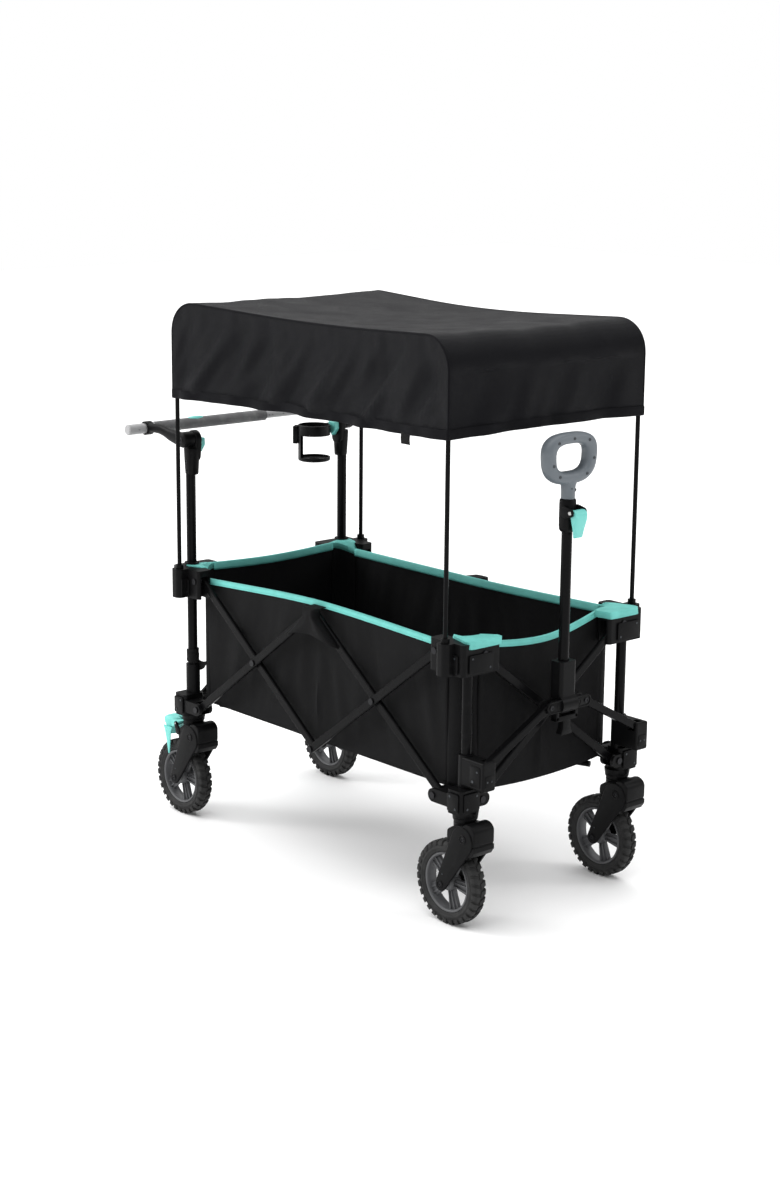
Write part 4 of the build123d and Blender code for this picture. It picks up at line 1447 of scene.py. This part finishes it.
def build_fork(corner):
    """Caster fork: swivel head, square nose with a split line, two broad legs, screws and the axle bolt."""
    post = POST[corner]
    parts = []
    for outline, radius in ((NOSE_UPPER, 0.006), (NOSE_LOWER, 0.0012), (NOSE_CORE, 0.001)):
        inset = 0.0014 if outline is NOSE_CORE else 0.0
        outline = rounded([(post.x + a, b) for a, b in outline], radius)
        parts.append(slab("nose", outline, post.y, NOSE_HALF - inset, "y", BLACK_PLASTIC, 0.0036, 4))
    parts.append(
        rod("head", STEM_R, 0.2000, SWIVEL_LINE, Vector((post.x, post.y, 0)), "z", BLACK_PLASTIC, 0.0012, 40)
    )
    axle = Vector((post.x - TRAIL, 0, WHEEL_R))
    for side in (-1, 1):
        outline = [(post.x + a, b) for a, b in two_circles(CHEEK, (-TRAIL, WHEEL_R, 0.0145), 26)]
        faces = sorted((post.y + side * 0.0242, post.y + side * LEG_OUT))
        parts.append(prism("leg", outline, *faces, "y", BLACK_PLASTIC, 0.0022, 4))
        outer = post.y + side * LEG_OUT
        boss = [
            (0.0, 0.0004), (0.0058, 0.0004), (0.0064, 0.0016), (0.0084, 0.0018), (0.0094, 0.0010),
            (0.0098, -0.0008),
        ]
        for place, scale in (
            (Vector((post.x + 0.0255, outer, 0.2015)), 1.0), (axle + Vector((0, outer, 0)), 0.92)
        ):
            boss_profile = [(r * scale, a) for r, a in boss]
            parts.append(lathe("boss", boss_profile, place, "y", BLACK_PLASTIC, 30, side))
            parts.append(screw(place, side, 0.0046))
        for dx, dz in ((0.006, 0.024), (-0.004, 0.030)):
            parts.append(well_shade_screw(axle + Vector((dx, outer, dz)), 0.0016, "y", side))
    parts.append(rod("axle", 0.0049, post.y - AXLE_HALF, post.y + AXLE_HALF, axle, "y", STEEL))
    if corner.startswith("rear"):
        lug = two_circles((-0.024, 0.205, 0.008), (-0.032, 0.222, 0.005), 8)
        lug = rounded([(post.x + a, b) for a, b in lug], 0.001, 1)
        for side in (-1, 1):
            faces = sorted((post.y + side * 0.0256, post.y + side * 0.0296))
            parts.append(prism("lug", lug, *faces, "y", BLACK_PLASTIC, 0.0008, 2))
        pin = Vector((post.x - 0.032, 0, 0.222))
        parts.append(rod("pin", 0.0019, post.y - 0.0305, post.y + 0.0305, pin, "y", STEEL, 0.0004, 16))
    finish_piece(f"{corner}_caster_body", parts, f"{corner}_caster_fork", f"{corner}_caster")


def build_stem_trim(corner):
    """The lip round a stem housing, its side tab, and two ribs below the bracket."""
    post = POST[corner]
    place = Vector((post.x, post.y, 0))
    lip = [
        (0.0228, 0.2398), (STEM_R + 0.0008, 0.2402), (STEM_R + 0.0014, 0.2412), (STEM_R + 0.0014, 0.2452),
        (STEM_R + 0.0008, 0.2462), (0.0228, 0.2466),
    ]
    parts = [ring_lathe("lip", lip, place, "z", BLACK_PLASTIC, 44)]
    tab = [(0.0225, 0.2425), (0.0310, 0.2440), (0.0310, 0.2500), (0.0225, 0.2515)]
    tab = rounded([(post.x + a, b) for a, b in tab], 0.0015)
    parts.append(slab("tab", tab, post.y, 0.004, "y", BLACK_PLASTIC, 0.0008))
    parts.append(screw(Vector((post.x + 0.0305, post.y, 0.2470)), 1, 0.0022, "x"))
    front = CORNERS[corner][0]
    for y in (-0.006, 0.006):
        levels = [
            (z, 0.0022 * k, 0.0022 * k) for z, k in ((0.251, 0.5), (0.254, 1), (0.268, 1), (0.272, 0.5))
        ]
        parts.append(stacked("rib", post.x + front * 0.0205, post.y + y, levels, 1.0, BLACK_PLASTIC, 12))
    finish_piece(f"{corner}_stem_trim", parts, None, f"{corner}_lower")


PANEL_T, PANEL_SUNK = 0.0012, 0.0008
CLEVIS_FACE, CLEVIS_HALF = 0.0676, 0.0175
# Profile of the bell over a stem, as (radius, height).
BELL = [
    (0.0236, 0.2332), (0.0252, 0.2340), (0.0258, 0.2372), (0.0248, 0.2392), (0.0262, 0.2404),
    (0.0270, 0.2452), (0.0276, 0.2508), (0.0236, 0.2510),
]


def raised_panel(axis, face, side, outline, radius=0.004):
    """A raised panel with rounded corners on a flat face that looks to side (-1 or 1) along an axis."""
    near, far = sorted((face - side * PANEL_SUNK, face + side * PANEL_T))
    return prism("panel", rounded(outline, radius), near, far, axis, BLACK_PLASTIC, 0.0007, 2)


def bracket_face_trim(corner, axis, along_range, height_range, screws, radius):
    """A raised panel with two screws on one outer face of a corner's brackets.

    along_range and the screws' places run from the post towards the outside.
    """
    signs, post = CORNERS[corner], POST[corner]
    low, high = along_range
    if axis == "x":
        face, side = post.x + signs[0] * (BRACKET_REACH - POST_X), signs[0]
        start, outwards = post.y, signs[1]
    else:
        face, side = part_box(f"{corner}_lower_bracket")[0 if signs[1] < 0 else 1].y, signs[1]
        start, outwards = post.x, signs[0]
    near, far = sorted((start + outwards * low, start + outwards * high))
    parts = [raised_panel(axis, face, side, rectangle(near, height_range[0], far, height_range[1]))]
    for along, height in screws:
        across, out = start + outwards * along, face + side * PANEL_T
        place = (out, across, height) if axis == "x" else (across, out, height)
        parts.append(well_shade_screw(Vector(place), radius, axis, side))
    return parts


def clevis_trim(corner):
    """Panels and screws on the outer side and the front of a yoke clevis."""
    side, post = CORNERS[corner][1], POST[corner]
    face = post.y + side * CLEVIS_HALF
    outline = rectangle(post.x + 0.030, 0.3130, post.x + 0.059, 0.3560)
    parts = [raised_panel("y", face, side, outline, 0.005)]
    for along, height, radius in ((0.038, 0.3230, 0.0030), (0.051, 0.3450, 0.0022)):
        place = Vector((post.x + along, face + side * PANEL_T, height))
        parts.append(well_shade_screw(place, radius, "y", side))
    end_face = post.x + CLEVIS_FACE
    outline = rounded(rectangle(post.y - 0.012, 0.3140, post.y + 0.012, 0.3380), 0.004)
    parts.append(slab("panel", outline, end_face, 0.0010, "x", BLACK_PLASTIC, 0.0006))
    for along in (-0.006, 0.006):
        parts.append(well_shade_screw(Vector((end_face + 0.0010, post.y + along, 0.3260)), 0.0020, "x", 1))
    return parts


def build_bracket_trim(corner):
    """Raised panels and screws on the outer faces of a corner's two brackets, and the bell over the stem."""
    post = POST[corner]
    lower, upper = [], []
    for axis, low, high in (("x", -0.012, 0.030), ("y", -0.012, 0.020)):
        screws = ((low + 0.008, 0.2870), (high - 0.008, 0.2630))
        lower += bracket_face_trim(corner, axis, (low, high), (0.2560, 0.2940), screws, 0.0024)
        screws = ((low - 0.022, 0.5480), (high - 0.016, 0.5710))
        upper += bracket_face_trim(
            corner, axis, (low - 0.030, high - 0.008), (0.5400, 0.5780), screws, 0.0022
        )
    if corner.startswith("front"):
        lower += clevis_trim(corner)
    lower.append(ring_lathe("bell", BELL, Vector((post.x, post.y, 0)), "z", BLACK_PLASTIC))
    finish_piece(f"{corner}_lower_trim", lower, None, f"{corner}_lower")
    finish_piece(f"{corner}_upper_trim", upper, None, f"{corner}_upper")


# Levels of the brake pedal: height, middle behind the post, half length and half width.
PEDAL_DOME = [
    (0.2288, 0.0690, 0.0080, 0.0100), (0.2284, 0.0692, 0.0150, 0.0165), (0.2268, 0.0696, 0.0210, 0.0216),
    (0.2235, 0.0700, 0.0248, 0.0240), (0.2185, 0.0702, 0.0262, 0.0246), (0.2130, 0.0702, 0.0250, 0.0240),
    (0.2080, 0.0704, 0.0212, 0.0222), (0.2020, 0.0708, 0.0165, 0.0212), (0.1950, 0.0704, 0.0130, 0.0208),
    (0.1880, 0.0698, 0.0108, 0.0206),
]
# Levels of its two fins: height, middle behind the post and half length.
PEDAL_FIN = [
    (0.206, 0.0706, 0.0175), (0.196, 0.0704, 0.0128), (0.186, 0.0696, 0.0100), (0.170, 0.0684, 0.0072),
    (0.156, 0.0674, 0.0048), (0.144, 0.0668, 0.0026), (0.141, 0.0667, 0.0014),
]
# Outline of its neck: distance behind the post, and height.
PEDAL_NECK = [
    (0.0580, 0.2262), (0.0400, 0.2236), (0.0292, 0.2256), (0.0292, 0.2184), (0.0410, 0.2135),
    (0.0560, 0.2070),
]


def build_pedal(corner):
    """Teal foot brake: a domed top, which narrows to a point behind the fork's legs, with a small slot drawn
    as a dark teal bar of painted shade.
    """
    post = POST[corner]
    dome = [level_ring((post.x - back, post.y, z), long, wide, 0.8) for z, back, long, wide in PEDAL_DOME]
    parts = [loft("dome", dome, TEAL_PLASTIC)]
    for side in (-1, 1):
        y = post.y + side * 0.0231
        fin = [level_ring((post.x - back, y, z), long, 0.0019, 0.8, 20) for z, back, long in PEDAL_FIN]
        parts.append(loft("fin", fin, TEAL_PLASTIC))
    neck = rounded([(post.x - back, z) for back, z in PEDAL_NECK], 0.003)
    parts.append(slab("neck", neck, post.y, 0.0235, "y", TEAL_PLASTIC, 0.0016, 3))
    # The slot is a flat dark teal bar on the dome, not a cut: painted shade.
    slot = rectangle(post.x - 0.058, post.y - 0.0016, post.x - 0.045, post.y + 0.0016)
    parts.append(prism("slot", rounded(slot, 0.001, 2), 0.2240, 0.2292, "z", TEAL_SLOT_SHADE, 0.0003, 1))
    finish_piece(f"{corner}_pedal_body", parts, f"{corner}_brake_pedal", f"{corner}_brake")


# ---------------------------------------------------------------- pull handle

PULL_X = middle("pull_handle_outer_tube").x
GRIP_LOW, GRIP_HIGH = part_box("pull_handle_grip")
NECK_TOP = 0.896
LEVER_PIN_Z = 0.842
YOKE_Z = 0.445
YOKE_PIN_Y = 0.050


def build_grip():
    """The D-shaped grip: a fat ring, wider at the top than at the neck, with its assembly screws."""
    middle_z, half_z = (GRIP_HIGH.z + NECK_TOP) / 2, (GRIP_HIGH.z - NECK_TOP) / 2
    half_y = (GRIP_HIGH.y - GRIP_LOW.y) / 2
    steps, around = 80, 22

    def ring_edge(turn, inner):
        """A point of the ring's outer or inner edge, as (y, z) from its middle."""
        if inner:
            y, z = squircle(turn, half_y - 0.0290, half_z - 0.0245, 0.66)
            z += 0.0015
        else:
            y, z = squircle(turn, half_y, half_z, 0.70)
        level = z / half_z
        return Vector((y * (1.01 + 0.06 * level - 0.06 * level**2 * (z < 0)), z))

    rows = []
    for i in range(steps):
        turn = math.tau * i / steps
        outer, inner = ring_edge(turn, False), ring_edge(turn, True)
        centre, across = (outer + inner) / 2, outer - inner
        reach, direction = across.length / 2, across.normalized()
        row = []
        for j in range(around):
            along, depth = squircle(math.tau * j / around, reach, 0.0148, 0.78)
            spot = centre + direction * along
            row.append(Vector((PULL_X + depth, spot.x, middle_z + spot.y)))
        rows.append(row)
    ring = grid_object("ring", rows, GRIP_PLASTIC, closed_rows=True, closed_columns=True)
    fix_normals(ring)
    parts = [shade_smooth(ring, 80)]
    levels = [
        (GRIP_LOW.z, 0.0132, 0.0132), (GRIP_LOW.z + 0.001, 0.0137, 0.0137), (0.880, 0.0138, 0.0138),
        (0.892, 0.0140, 0.0150), (0.901, 0.0141, 0.0205), (0.908, 0.0140, 0.0300),
    ]
    parts.append(stacked("neck", PULL_X, 0, levels, 0.9, GRIP_PLASTIC))
    for degrees in (-128, -172, -232, -270, -308, -2, -52):
        turn = math.radians(degrees)
        spot = ring_edge(turn, False) * 0.5 + ring_edge(turn, True) * 0.5
        parts.append(well_shade_screw(Vector((PULL_X + 0.0152, spot.x, middle_z + spot.y)), 0.0028))
    parts.append(well_shade_screw(Vector((PULL_X + 0.0136, -0.0030, 0.8880)), 0.0016))
    parts.append(well_shade_screw(Vector((PULL_X + 0.0128, 0.0065, 0.8850)), 0.0034))
    finish_piece("pull_grip_body", parts, "pull_handle_grip", "pull_handle_inner")


def build_lever():
    """The lever housing with its pin and lugs, and the teal lever with a round head and a blunt foot."""
    low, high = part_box("pull_handle_lever_housing")
    lever_low, lever_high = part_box("pull_handle_lever")
    pin = Vector((lever_low.x + 0.005, 0, LEVER_PIN_Z))
    levels = [
        (low.z, 0.0125, 0.0130), (low.z + 0.004, 0.0148, 0.0155), (0.812, 0.0155, 0.0165),
        (0.855, 0.0155, 0.0165), (high.z - 0.002, 0.0150, 0.0160), (high.z, 0.0140, 0.0150),
    ]
    parts = [stacked("shell", PULL_X, 0, levels, 0.8, BLACK_PLASTIC)]
    for side in (-1, 1):
        lug = two_circles((PULL_X + 0.010, LEVER_PIN_Z, 0.012), (pin.x, pin.z, 0.0085), 12)
        parts.append(plate_beyond("lug", lug, side, 0.0168, 0.0205, "y", BLACK_PLASTIC, 0.0010))
        head = [(0.0, 0.0016), (0.0034, 0.0014), (0.0042, 0.0006), (0.0042, -0.0010)]
        parts.append(lathe("pin_head", head, Vector((pin.x, side * 0.0205, pin.z)), "y", STEEL, 20, side))
    parts.append(rod("pin", 0.0024, -0.0205, 0.0205, pin, "y", STEEL, 0.0003, 16))
    finish_piece(
        "pull_lever_housing_body", parts, "pull_handle_lever_housing", "pull_handle"
    )
    tip, foot = lever_high.x, lever_low.z
    outline = [
        (pin.x - 0.0035, pin.z - 0.0060), (pin.x - 0.0050, pin.z + 0.0010), (pin.x - 0.001, pin.z + 0.0056),
        (pin.x + 0.0070, pin.z + 0.0062), (tip - 0.001, pin.z + 0.0010), (tip - 0.0012, pin.z - 0.010),
        (tip - 0.0035, 0.8160), (tip - 0.0045, foot + 0.0030), (tip - 0.0075, foot),
        (tip - 0.0125, foot + 0.0008), (tip - 0.0135, 0.8060), (lever_low.x + 0.0030, 0.8280),
    ]
    lever = prism("lever", rounded(outline, 0.005), -0.0158, 0.0158, "y", TEAL_PLASTIC, 0.0030, 4)
    for vertex in lever.data.vertices:
        share = smoothstep(foot, foot + 0.040, vertex.co.z)
        vertex.co.y *= 0.66 + 0.34 * share
        vertex.co.x -= 0.0035 * (1 - share)
    finish_piece("pull_lever_body", [lever], "pull_handle_lever", "pull_handle_lever")


def build_yoke_centre():
    """The yoke's middle: front and back plates with raised rims, the barrel, and the foot that joins them."""
    low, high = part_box("yoke_centre")
    x, z, reach = (low.x + high.x) / 2, YOKE_Z, YOKE_PIN_Y
    floor_z, bridge_half = 0.412, 0.0078
    parts = [rod("barrel", 0.0108, -0.041, 0.041, Vector((x, 0, z)), "y", BLACK_PLASTIC)]
    for side in (-1, 1):
        plate = two_circles((-reach, z, 0.0125), (reach, z, 0.01249), 14)
        near, far = x + side * 0.0086, x + side * 0.0125
        parts.append(prism("plate", plate, min(near, far), max(near, far), "x", BLACK_PLASTIC, 0.0008, 2))
        for half, radii, points, thick, sides in (
            (reach, (0.0112, 0.01119), 14, 0.0016, 8),
            (0.028, (0.0062, 0.00619), 10, 0.0009, 6),
        ):
            line = [
                Vector((far, a, b)) for a, b in two_circles((-half, z, radii[0]), (half, z, radii[1]), points)
            ]
            parts.append(tube("plate_rim", line, thick, BLACK_PLASTIC, cyclic=True, sides=sides))
        for y in (-reach, reach):
            parts.append(screw(Vector((far + side * 0.0006, y, z)), side, 0.0056, "x"))
    for y in (-reach, reach):
        parts.append(
            rod("rivet", 0.0038, x - 0.012, x + 0.012, Vector((0, y, z)), "x", DARK_STEEL, 0.0004, 20)
        )
    for y in (-0.027, 0.027):
        strap = rectangle(y - 0.004, floor_z, y + 0.004, z)
        parts.append(slab("strap", strap, x, bridge_half, "x", BLACK_PLASTIC, 0.0014))
    floor = rounded(rectangle(-0.031, floor_z - 0.002, 0.031, 0.421), 0.004)
    parts.append(slab("floor", floor, x, bridge_half, "x", BLACK_PLASTIC, 0.0014))
    foot_z = low.z + 0.0006
    half_foot = [(0.011, 0.414), (0.010, 0.396), (0.0165, foot_z)]
    foot = rounded([(-y, b) for y, b in half_foot] + half_foot[::-1], 0.003)
    parts.append(slab("foot", foot, x, 0.0076, "x", BLACK_PLASTIC, 0.0016, 3))
    finish_piece("yoke_centre_body", parts, "yoke_centre", "yoke_centre")


# ---------------------------------------------------------------- push handle

BAR_LOW, BAR_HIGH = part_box("handlebar_outer")
BAR = Vector(((BAR_LOW.x + BAR_HIGH.x) / 2, 0, (BAR_LOW.z + BAR_HIGH.z) / 2))
HINGE_Z = 0.888


def build_bar():
    """The push bar: foam sleeve with a teal marker, the thin inner tube with its screws, and two end caps."""
    y_low, foam_end = BAR_LOW.y, BAR_HIGH.y
    cap_r = 0.0120
    parts = [rod("sleeve", 0.0130, -0.2215, foam_end, BAR, "y", FOAM, 0.0018, 40)]
    parts.append(rod("cap", cap_r, y_low, -0.2495, BAR, "y", GREY_PLASTIC, 0.0022, 36))
    parts.append(rod("bar_core", 0.0108, -0.2500, -0.2210, BAR, "y", GREY_PLASTIC, 0.0005))
    parts.append(well_shade_screw(BAR + Vector((0.0116, -0.270, 0)), 0.0017))
    for y in (0.020, -0.150):
        seam = [(0.01312, y - 0.0010), (0.01342, y - 0.0006), (0.01342, y + 0.0006), (0.01312, y + 0.0010)]
        parts.append(ring_lathe("seam", seam, BAR, "y", FOAM, 40))
    marker = []
    for share in (0.0, 0.06, 0.2, 0.5, 0.8, 0.94, 1.0):
        y = -0.128 + 0.048 * share
        swell = math.sin(math.pi * min(max(share, 0.02), 0.98)) ** 0.35
        turns = [math.tau * k / 20 for k in range(20)]
        spots = [(0.0085 * swell * math.cos(a), y, 0.0100 + 0.0060 * swell * math.sin(a)) for a in turns]
        marker.append([BAR + Vector(spot) for spot in spots])
    parts.append(loft("marker", marker, TEAL_PLASTIC))
    finish_piece("push_bar_body", parts, "handlebar_outer", "push_handle_right_arm")
    inner = [rod("thin_tube", 0.0092, 0.041, 0.2500, BAR, "y", GREY_PLASTIC, 0.0008, 32)]
    inner.append(rod("cap", cap_r, 0.2495, 0.2960, BAR, "y", GREY_PLASTIC, 0.0022, 36))
    for y in (0.108, 0.118, 0.150, 0.186):
        inner.append(well_shade_screw(BAR + Vector((0.0090, y, 0)), 0.0014))
    finish_piece("push_bar_inner_body", inner, "handlebar_inner", "handlebar_inner")


def build_push_side(side):
    """One side of the push handle: the hinge housing on the post, and the arm that curves up to the bar."""
    sign = SIDES[side]
    post = POST[f"rear_{side}"]
    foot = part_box(f"push_handle_{side}_hinge_housing")[0].z
    body = "rear_right_upper" if side == "right" else "rear_left_upper"
    levels = [
        (foot, 0.0125, 0.0130), (foot + 0.003, 0.0138, 0.0142), (0.826, 0.0148, 0.0150),
        (0.850, 0.0172, 0.0154), (0.866, 0.0186, 0.0152), (0.8685, 0.0180, 0.0146),
    ]
    parts = [stacked("shell", post.x, sign * 0.2190, levels, 0.8, BLACK_PLASTIC)]
    cheek = two_circles((post.x, HINGE_Z, 0.0198), (post.x, 0.852, 0.0165), 24)
    parts.append(plate_beyond("cheek", cheek, sign, 0.2031, 0.2200, "y", BLACK_PLASTIC, 0.0045, 5))
    parts.append(screw(Vector((post.x, sign * 0.2335, 0.838)), sign, 0.0042))
    parts.append(screw(Vector((post.x, sign * 0.2330, 0.818)), sign, 0.0026))
    finish_piece(f"push_hinge_{side}_body", parts, f"push_handle_{side}_hinge_housing", body)
    hub = [
        (0.0, 0.2489), (0.0120, 0.2488), (0.0165, 0.2468), (0.0179, 0.2435), (0.0179, 0.2240),
        (0.0170, 0.2206), (0.0, 0.2206),
    ]
    arm = [lathe("hub", hub, Vector((post.x, 0, HINGE_Z)), "y", BLACK_PLASTIC, 40, sign)]
    arm.append(screw(Vector((post.x, sign * 0.2486, HINGE_Z)), sign, 0.0060))
    rings = []
    for share in [k / 16 for k in range(17)]:
        x = BAR.x + (post.x - BAR.x) * share
        crown = 0.0040 * math.sin(math.pi * min(share * 1.6, 1))
        z = BAR.z + crown + (HINGE_Z - BAR.z) * smoothstep(0.35, 1.0, share)
        tall = 0.0105 + 0.0060 * smoothstep(0.2, 1.0, share)
        wide = 0.0066 + 0.0010 * smoothstep(0.5, 1.0, share)
        ring = []
        for k in range(24):
            dy, dz = squircle(math.tau * k / 24, wide, tall, 0.75)
            ring.append(Vector((x, sign * 0.2412 + dy, z + dz)))
        rings.append(ring)
    arm.append(loft("strap", rings, BLACK_PLASTIC))
    inner_r = 0.0131 if side == "right" else 0.0112
    collar = [
        (inner_r, 0.2300), (0.0150, 0.2302), (0.0158, 0.2312), (0.0158, 0.2476), (0.0150, 0.2486),
        (inner_r, 0.2488),
    ]
    arm.append(ring_lathe("collar", collar, Vector((BAR.x, 0, BAR.z)), "y", BLACK_PLASTIC, 40, sign))
    finish_piece(
        f"push_arm_{side}_body", arm, f"push_handle_{side}_arm", f"push_handle_{side}_arm"
    )


def build_cup_holder():
    """Cup holder: a top ring with a rolled lip, a wall on one side, a base with a hole, mount and clip."""
    low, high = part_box("cup_holder")
    outer, wall = 0.038, 0.0038
    centre = Vector((CENTRE_X - 0.474, 0.150, 0))
    parts = []
    bore = outer - wall
    ring = [
        (outer, high.z - 0.0245), (outer, high.z - 0.003), (outer + 0.0006, high.z - 0.0012),
        (outer - 0.0010, high.z), (bore + 0.0010, high.z), (bore, high.z - 0.0012), (bore, high.z - 0.0245),
    ]
    parts.append(ring_lathe("ring", ring, centre, "z", BLACK_PLASTIC, 56))
    hole = 0.012
    base = [
        (hole, low.z), (outer - 0.004, low.z), (outer - 0.0008, low.z + 0.0016), (outer, low.z + 0.004),
        (outer, low.z + 0.0096), (bore, low.z + 0.0096), (bore, low.z + 0.0052), (hole, low.z + 0.0046),
    ]
    parts.append(ring_lathe("base", base, centre, "z", BLACK_PLASTIC, 56))
    rows = []
    for k in range(13):
        angle = math.radians(-132 - 38 + 76 * k / 12)
        out = Vector((math.cos(angle), math.sin(angle), 0))
        edge = 0.0012 * (1 - smoothstep(0, 0.18, min(k, 12 - k) / 12))
        row = []
        rim, foot_z, head_z = outer + edge, low.z + 0.009, high.z - 0.024
        for radius, z in ((rim, foot_z), (rim, head_z), (bore, head_z), (bore, foot_z)):
            row.append(centre + out * radius + Vector((0, 0, z)))
        rows.append(row)
    web = grid_object("web", rows, BLACK_PLASTIC, closed_columns=True)
    fix_normals(web)
    parts.append(web)
    mount = rectangle(centre.x - 0.0040, high.z - 0.0240, centre.x + 0.0014, high.z)
    parts.append(prism("mount", mount, centre.y + outer - 0.004, high.y, "y", BLACK_PLASTIC, 0.0006, 2))
    angle = math.radians(-142)
    out, along = Vector((math.cos(angle), math.sin(angle), 0)), Vector((-math.sin(angle), math.cos(angle), 0))
    clip = []
    for z in (high.z - 0.046, high.z - 0.044, high.z - 0.006, high.z - 0.004):
        edge = 0.0010 if z in (high.z - 0.046, high.z - 0.004) else 0.0
        corner = centre + out * (outer + 0.0050) + Vector((0, 0, z))
        corners = [
            (a * (0.0060 - edge), b * (0.0130 - edge)) for a, b in ((-1, -1), (-1, 1), (1, 1), (1, -1))
        ]
        clip.append([corner + out * a + along * b for a, b in corners])
    parts.append(bevelled(loft("clip", clip, BLACK_PLASTIC), 0.0010, 2))
    finish_piece("cup_holder_body", parts, "cup_holder", "rear_left_upper")


# ---------------------------------------------------------------- sewn details

def build_hub_patch(side):
    """The cloth patch sewn below the rim, which goes out over the links' top hub and down over their ends."""
    sign = SIDES[side]
    wide, high = 36, 20
    hub_z, roof_z, foot_z, out = 0.575, 0.5862, 0.5215, 0.0372
    rows = []
    for j in range(high + 1):
        share = j / high
        roof = smoothstep(0.0, 0.22, share)
        fall = max(share - 0.18, 0) / 0.82
        z = roof_z + 0.0012 * (1 - roof) - (roof_z - foot_z) * fall
        half = max(0.0195, (hub_z - z) / math.tan(LINK_SLOPE) + 0.0130)
        row = []
        for i in range(wide + 1):
            u = -1 + 2 * i / wide
            lean = out * roof * (0.45 + 0.55 * (1 - abs(u) ** 9))
            crease = 0.0016 * math.sin(7 * u + 5 * share) * fall
            hollow = -0.0045 * math.cos(u * math.pi / 2) ** 2 * smoothstep(0.25, 1.0, share)
            droop = -0.010 * abs(u) ** 3 * fall + 0.008 * (1 - u * u) * smoothstep(0.7, 1.0, share)
            away = 0.0030 + lean + crease + hollow
            row.append(Vector((CENTRE_X + half * u, sign * (WALL_Y + away), z + droop)))
        rows.append(row)
    patch = grid_object(f"basket_hub_patch_{side}", rows, BASKET_CLOTH)
    orient(patch, Vector((0, sign, 0)))
    thickened(patch, 0.0012, 0.0)
    hang(patch, side)


def build_grommet(side):
    """A black eyelet in the rear gusset where the post comes up through it."""
    corner = f"rear_{side}"
    post = POST[corner]
    z = BRACKET_TOP + 0.0058
    profile = [
        (0.0118, z - 0.0050), (0.0118, z + 0.0006), (0.0136, z + 0.0016), (0.0165, z + 0.0008),
        (0.0172, z - 0.0014),
    ]
    ring = ring_lathe("eyelet", profile, Vector((post.x, post.y, 0)), "z", BLACK_PLASTIC, 40)
    finish_piece(f"{corner}_eyelet", [ring], None, f"{corner}_upper")


STRAP_HALF = 0.012


def build_strap():
    """A webbing strap wound round the rear right post, low down, with its end pulled across to the basket."""
    post = POST["rear_right"]
    sleeve_r, steps, end_steps = 0.0112, 60, 14
    rows = []
    for k in range(steps + 1):
        share = k / steps
        turn = math.tau * (0.2 + 2.2 * share)
        radius = sleeve_r + 0.0014 + 0.0013 * share
        z = 0.384 + 0.008 * math.sin(1.3 * math.pi * share)
        out = Vector((math.cos(turn), math.sin(turn), 0))
        edges = ((-STRAP_HALF, 0.0004), (0.0, 0.0), (STRAP_HALF, 0.0004))
        rows.append([Vector((post.x, post.y, z + h)) + out * (radius + bow) for h, bow in edges])
    end = rows[-1][1]
    goal = Vector((post.x + 0.040, -WALL_Y + 0.004, 0.372))
    for k in range(1, end_steps + 1):
        share = k / end_steps
        spot = end.lerp(goal, share) + Vector((0, 0, -0.010 * math.sin(math.pi * share)))
        lean = 0.6 * share
        up = Vector((math.sin(lean), 0, math.cos(lean)))
        rows.append([spot + up * h for h in (-STRAP_HALF, 0.0, STRAP_HALF)])
    strap = grid_object("post_strap", rows, WEBBING)
    thickened(strap, 0.0014, 0.0)
    settle(strap, "rear_right_upper")


def build_tag():
    """A small blank label sewn into the canopy's near hem."""
    x, sign = CENTRE_X + 0.320, -1
    z = cover_hem(x - CENTRE_X, sign) + 0.004
    rows = []
    for j in range(9):
        share = j / 8
        y = sign * (cover_side(x - CENTRE_X) + 0.0024 + 0.0016 * math.sin(3 * share))
        rows.append([Vector((x - 0.013 + 0.026 * i / 6, y, z - 0.024 * share)) for i in range(7)])
    tag = grid_object("canopy_tag", rows, WEBBING)
    orient(tag, Vector((0, sign, 0)))
    thickened(tag, 0.0010, 0.0)
    settle(tag, "canopy")


# ---------------------------------------------------------------- making it

make_camera()
make_stage()
make_lights()
dress_cad_nodes()
build_canopy()
for wall in WALLS:
    build_wall(wall)
for corner in CORNERS:
    build_corner(corner)
    build_tyre(corner)
    build_rim(corner)
    build_fork(corner)
    build_stem_trim(corner)
    build_bracket_trim(corner)
build_floor()
for side in SIDES:
    build_pedal(f"rear_{side}")
    build_push_side(side)
    build_hub_patch(side)
    build_grommet(side)
build_bar()
build_grip()
build_lever()
build_yoke_centre()
build_cup_holder()
build_strap()
build_tag()
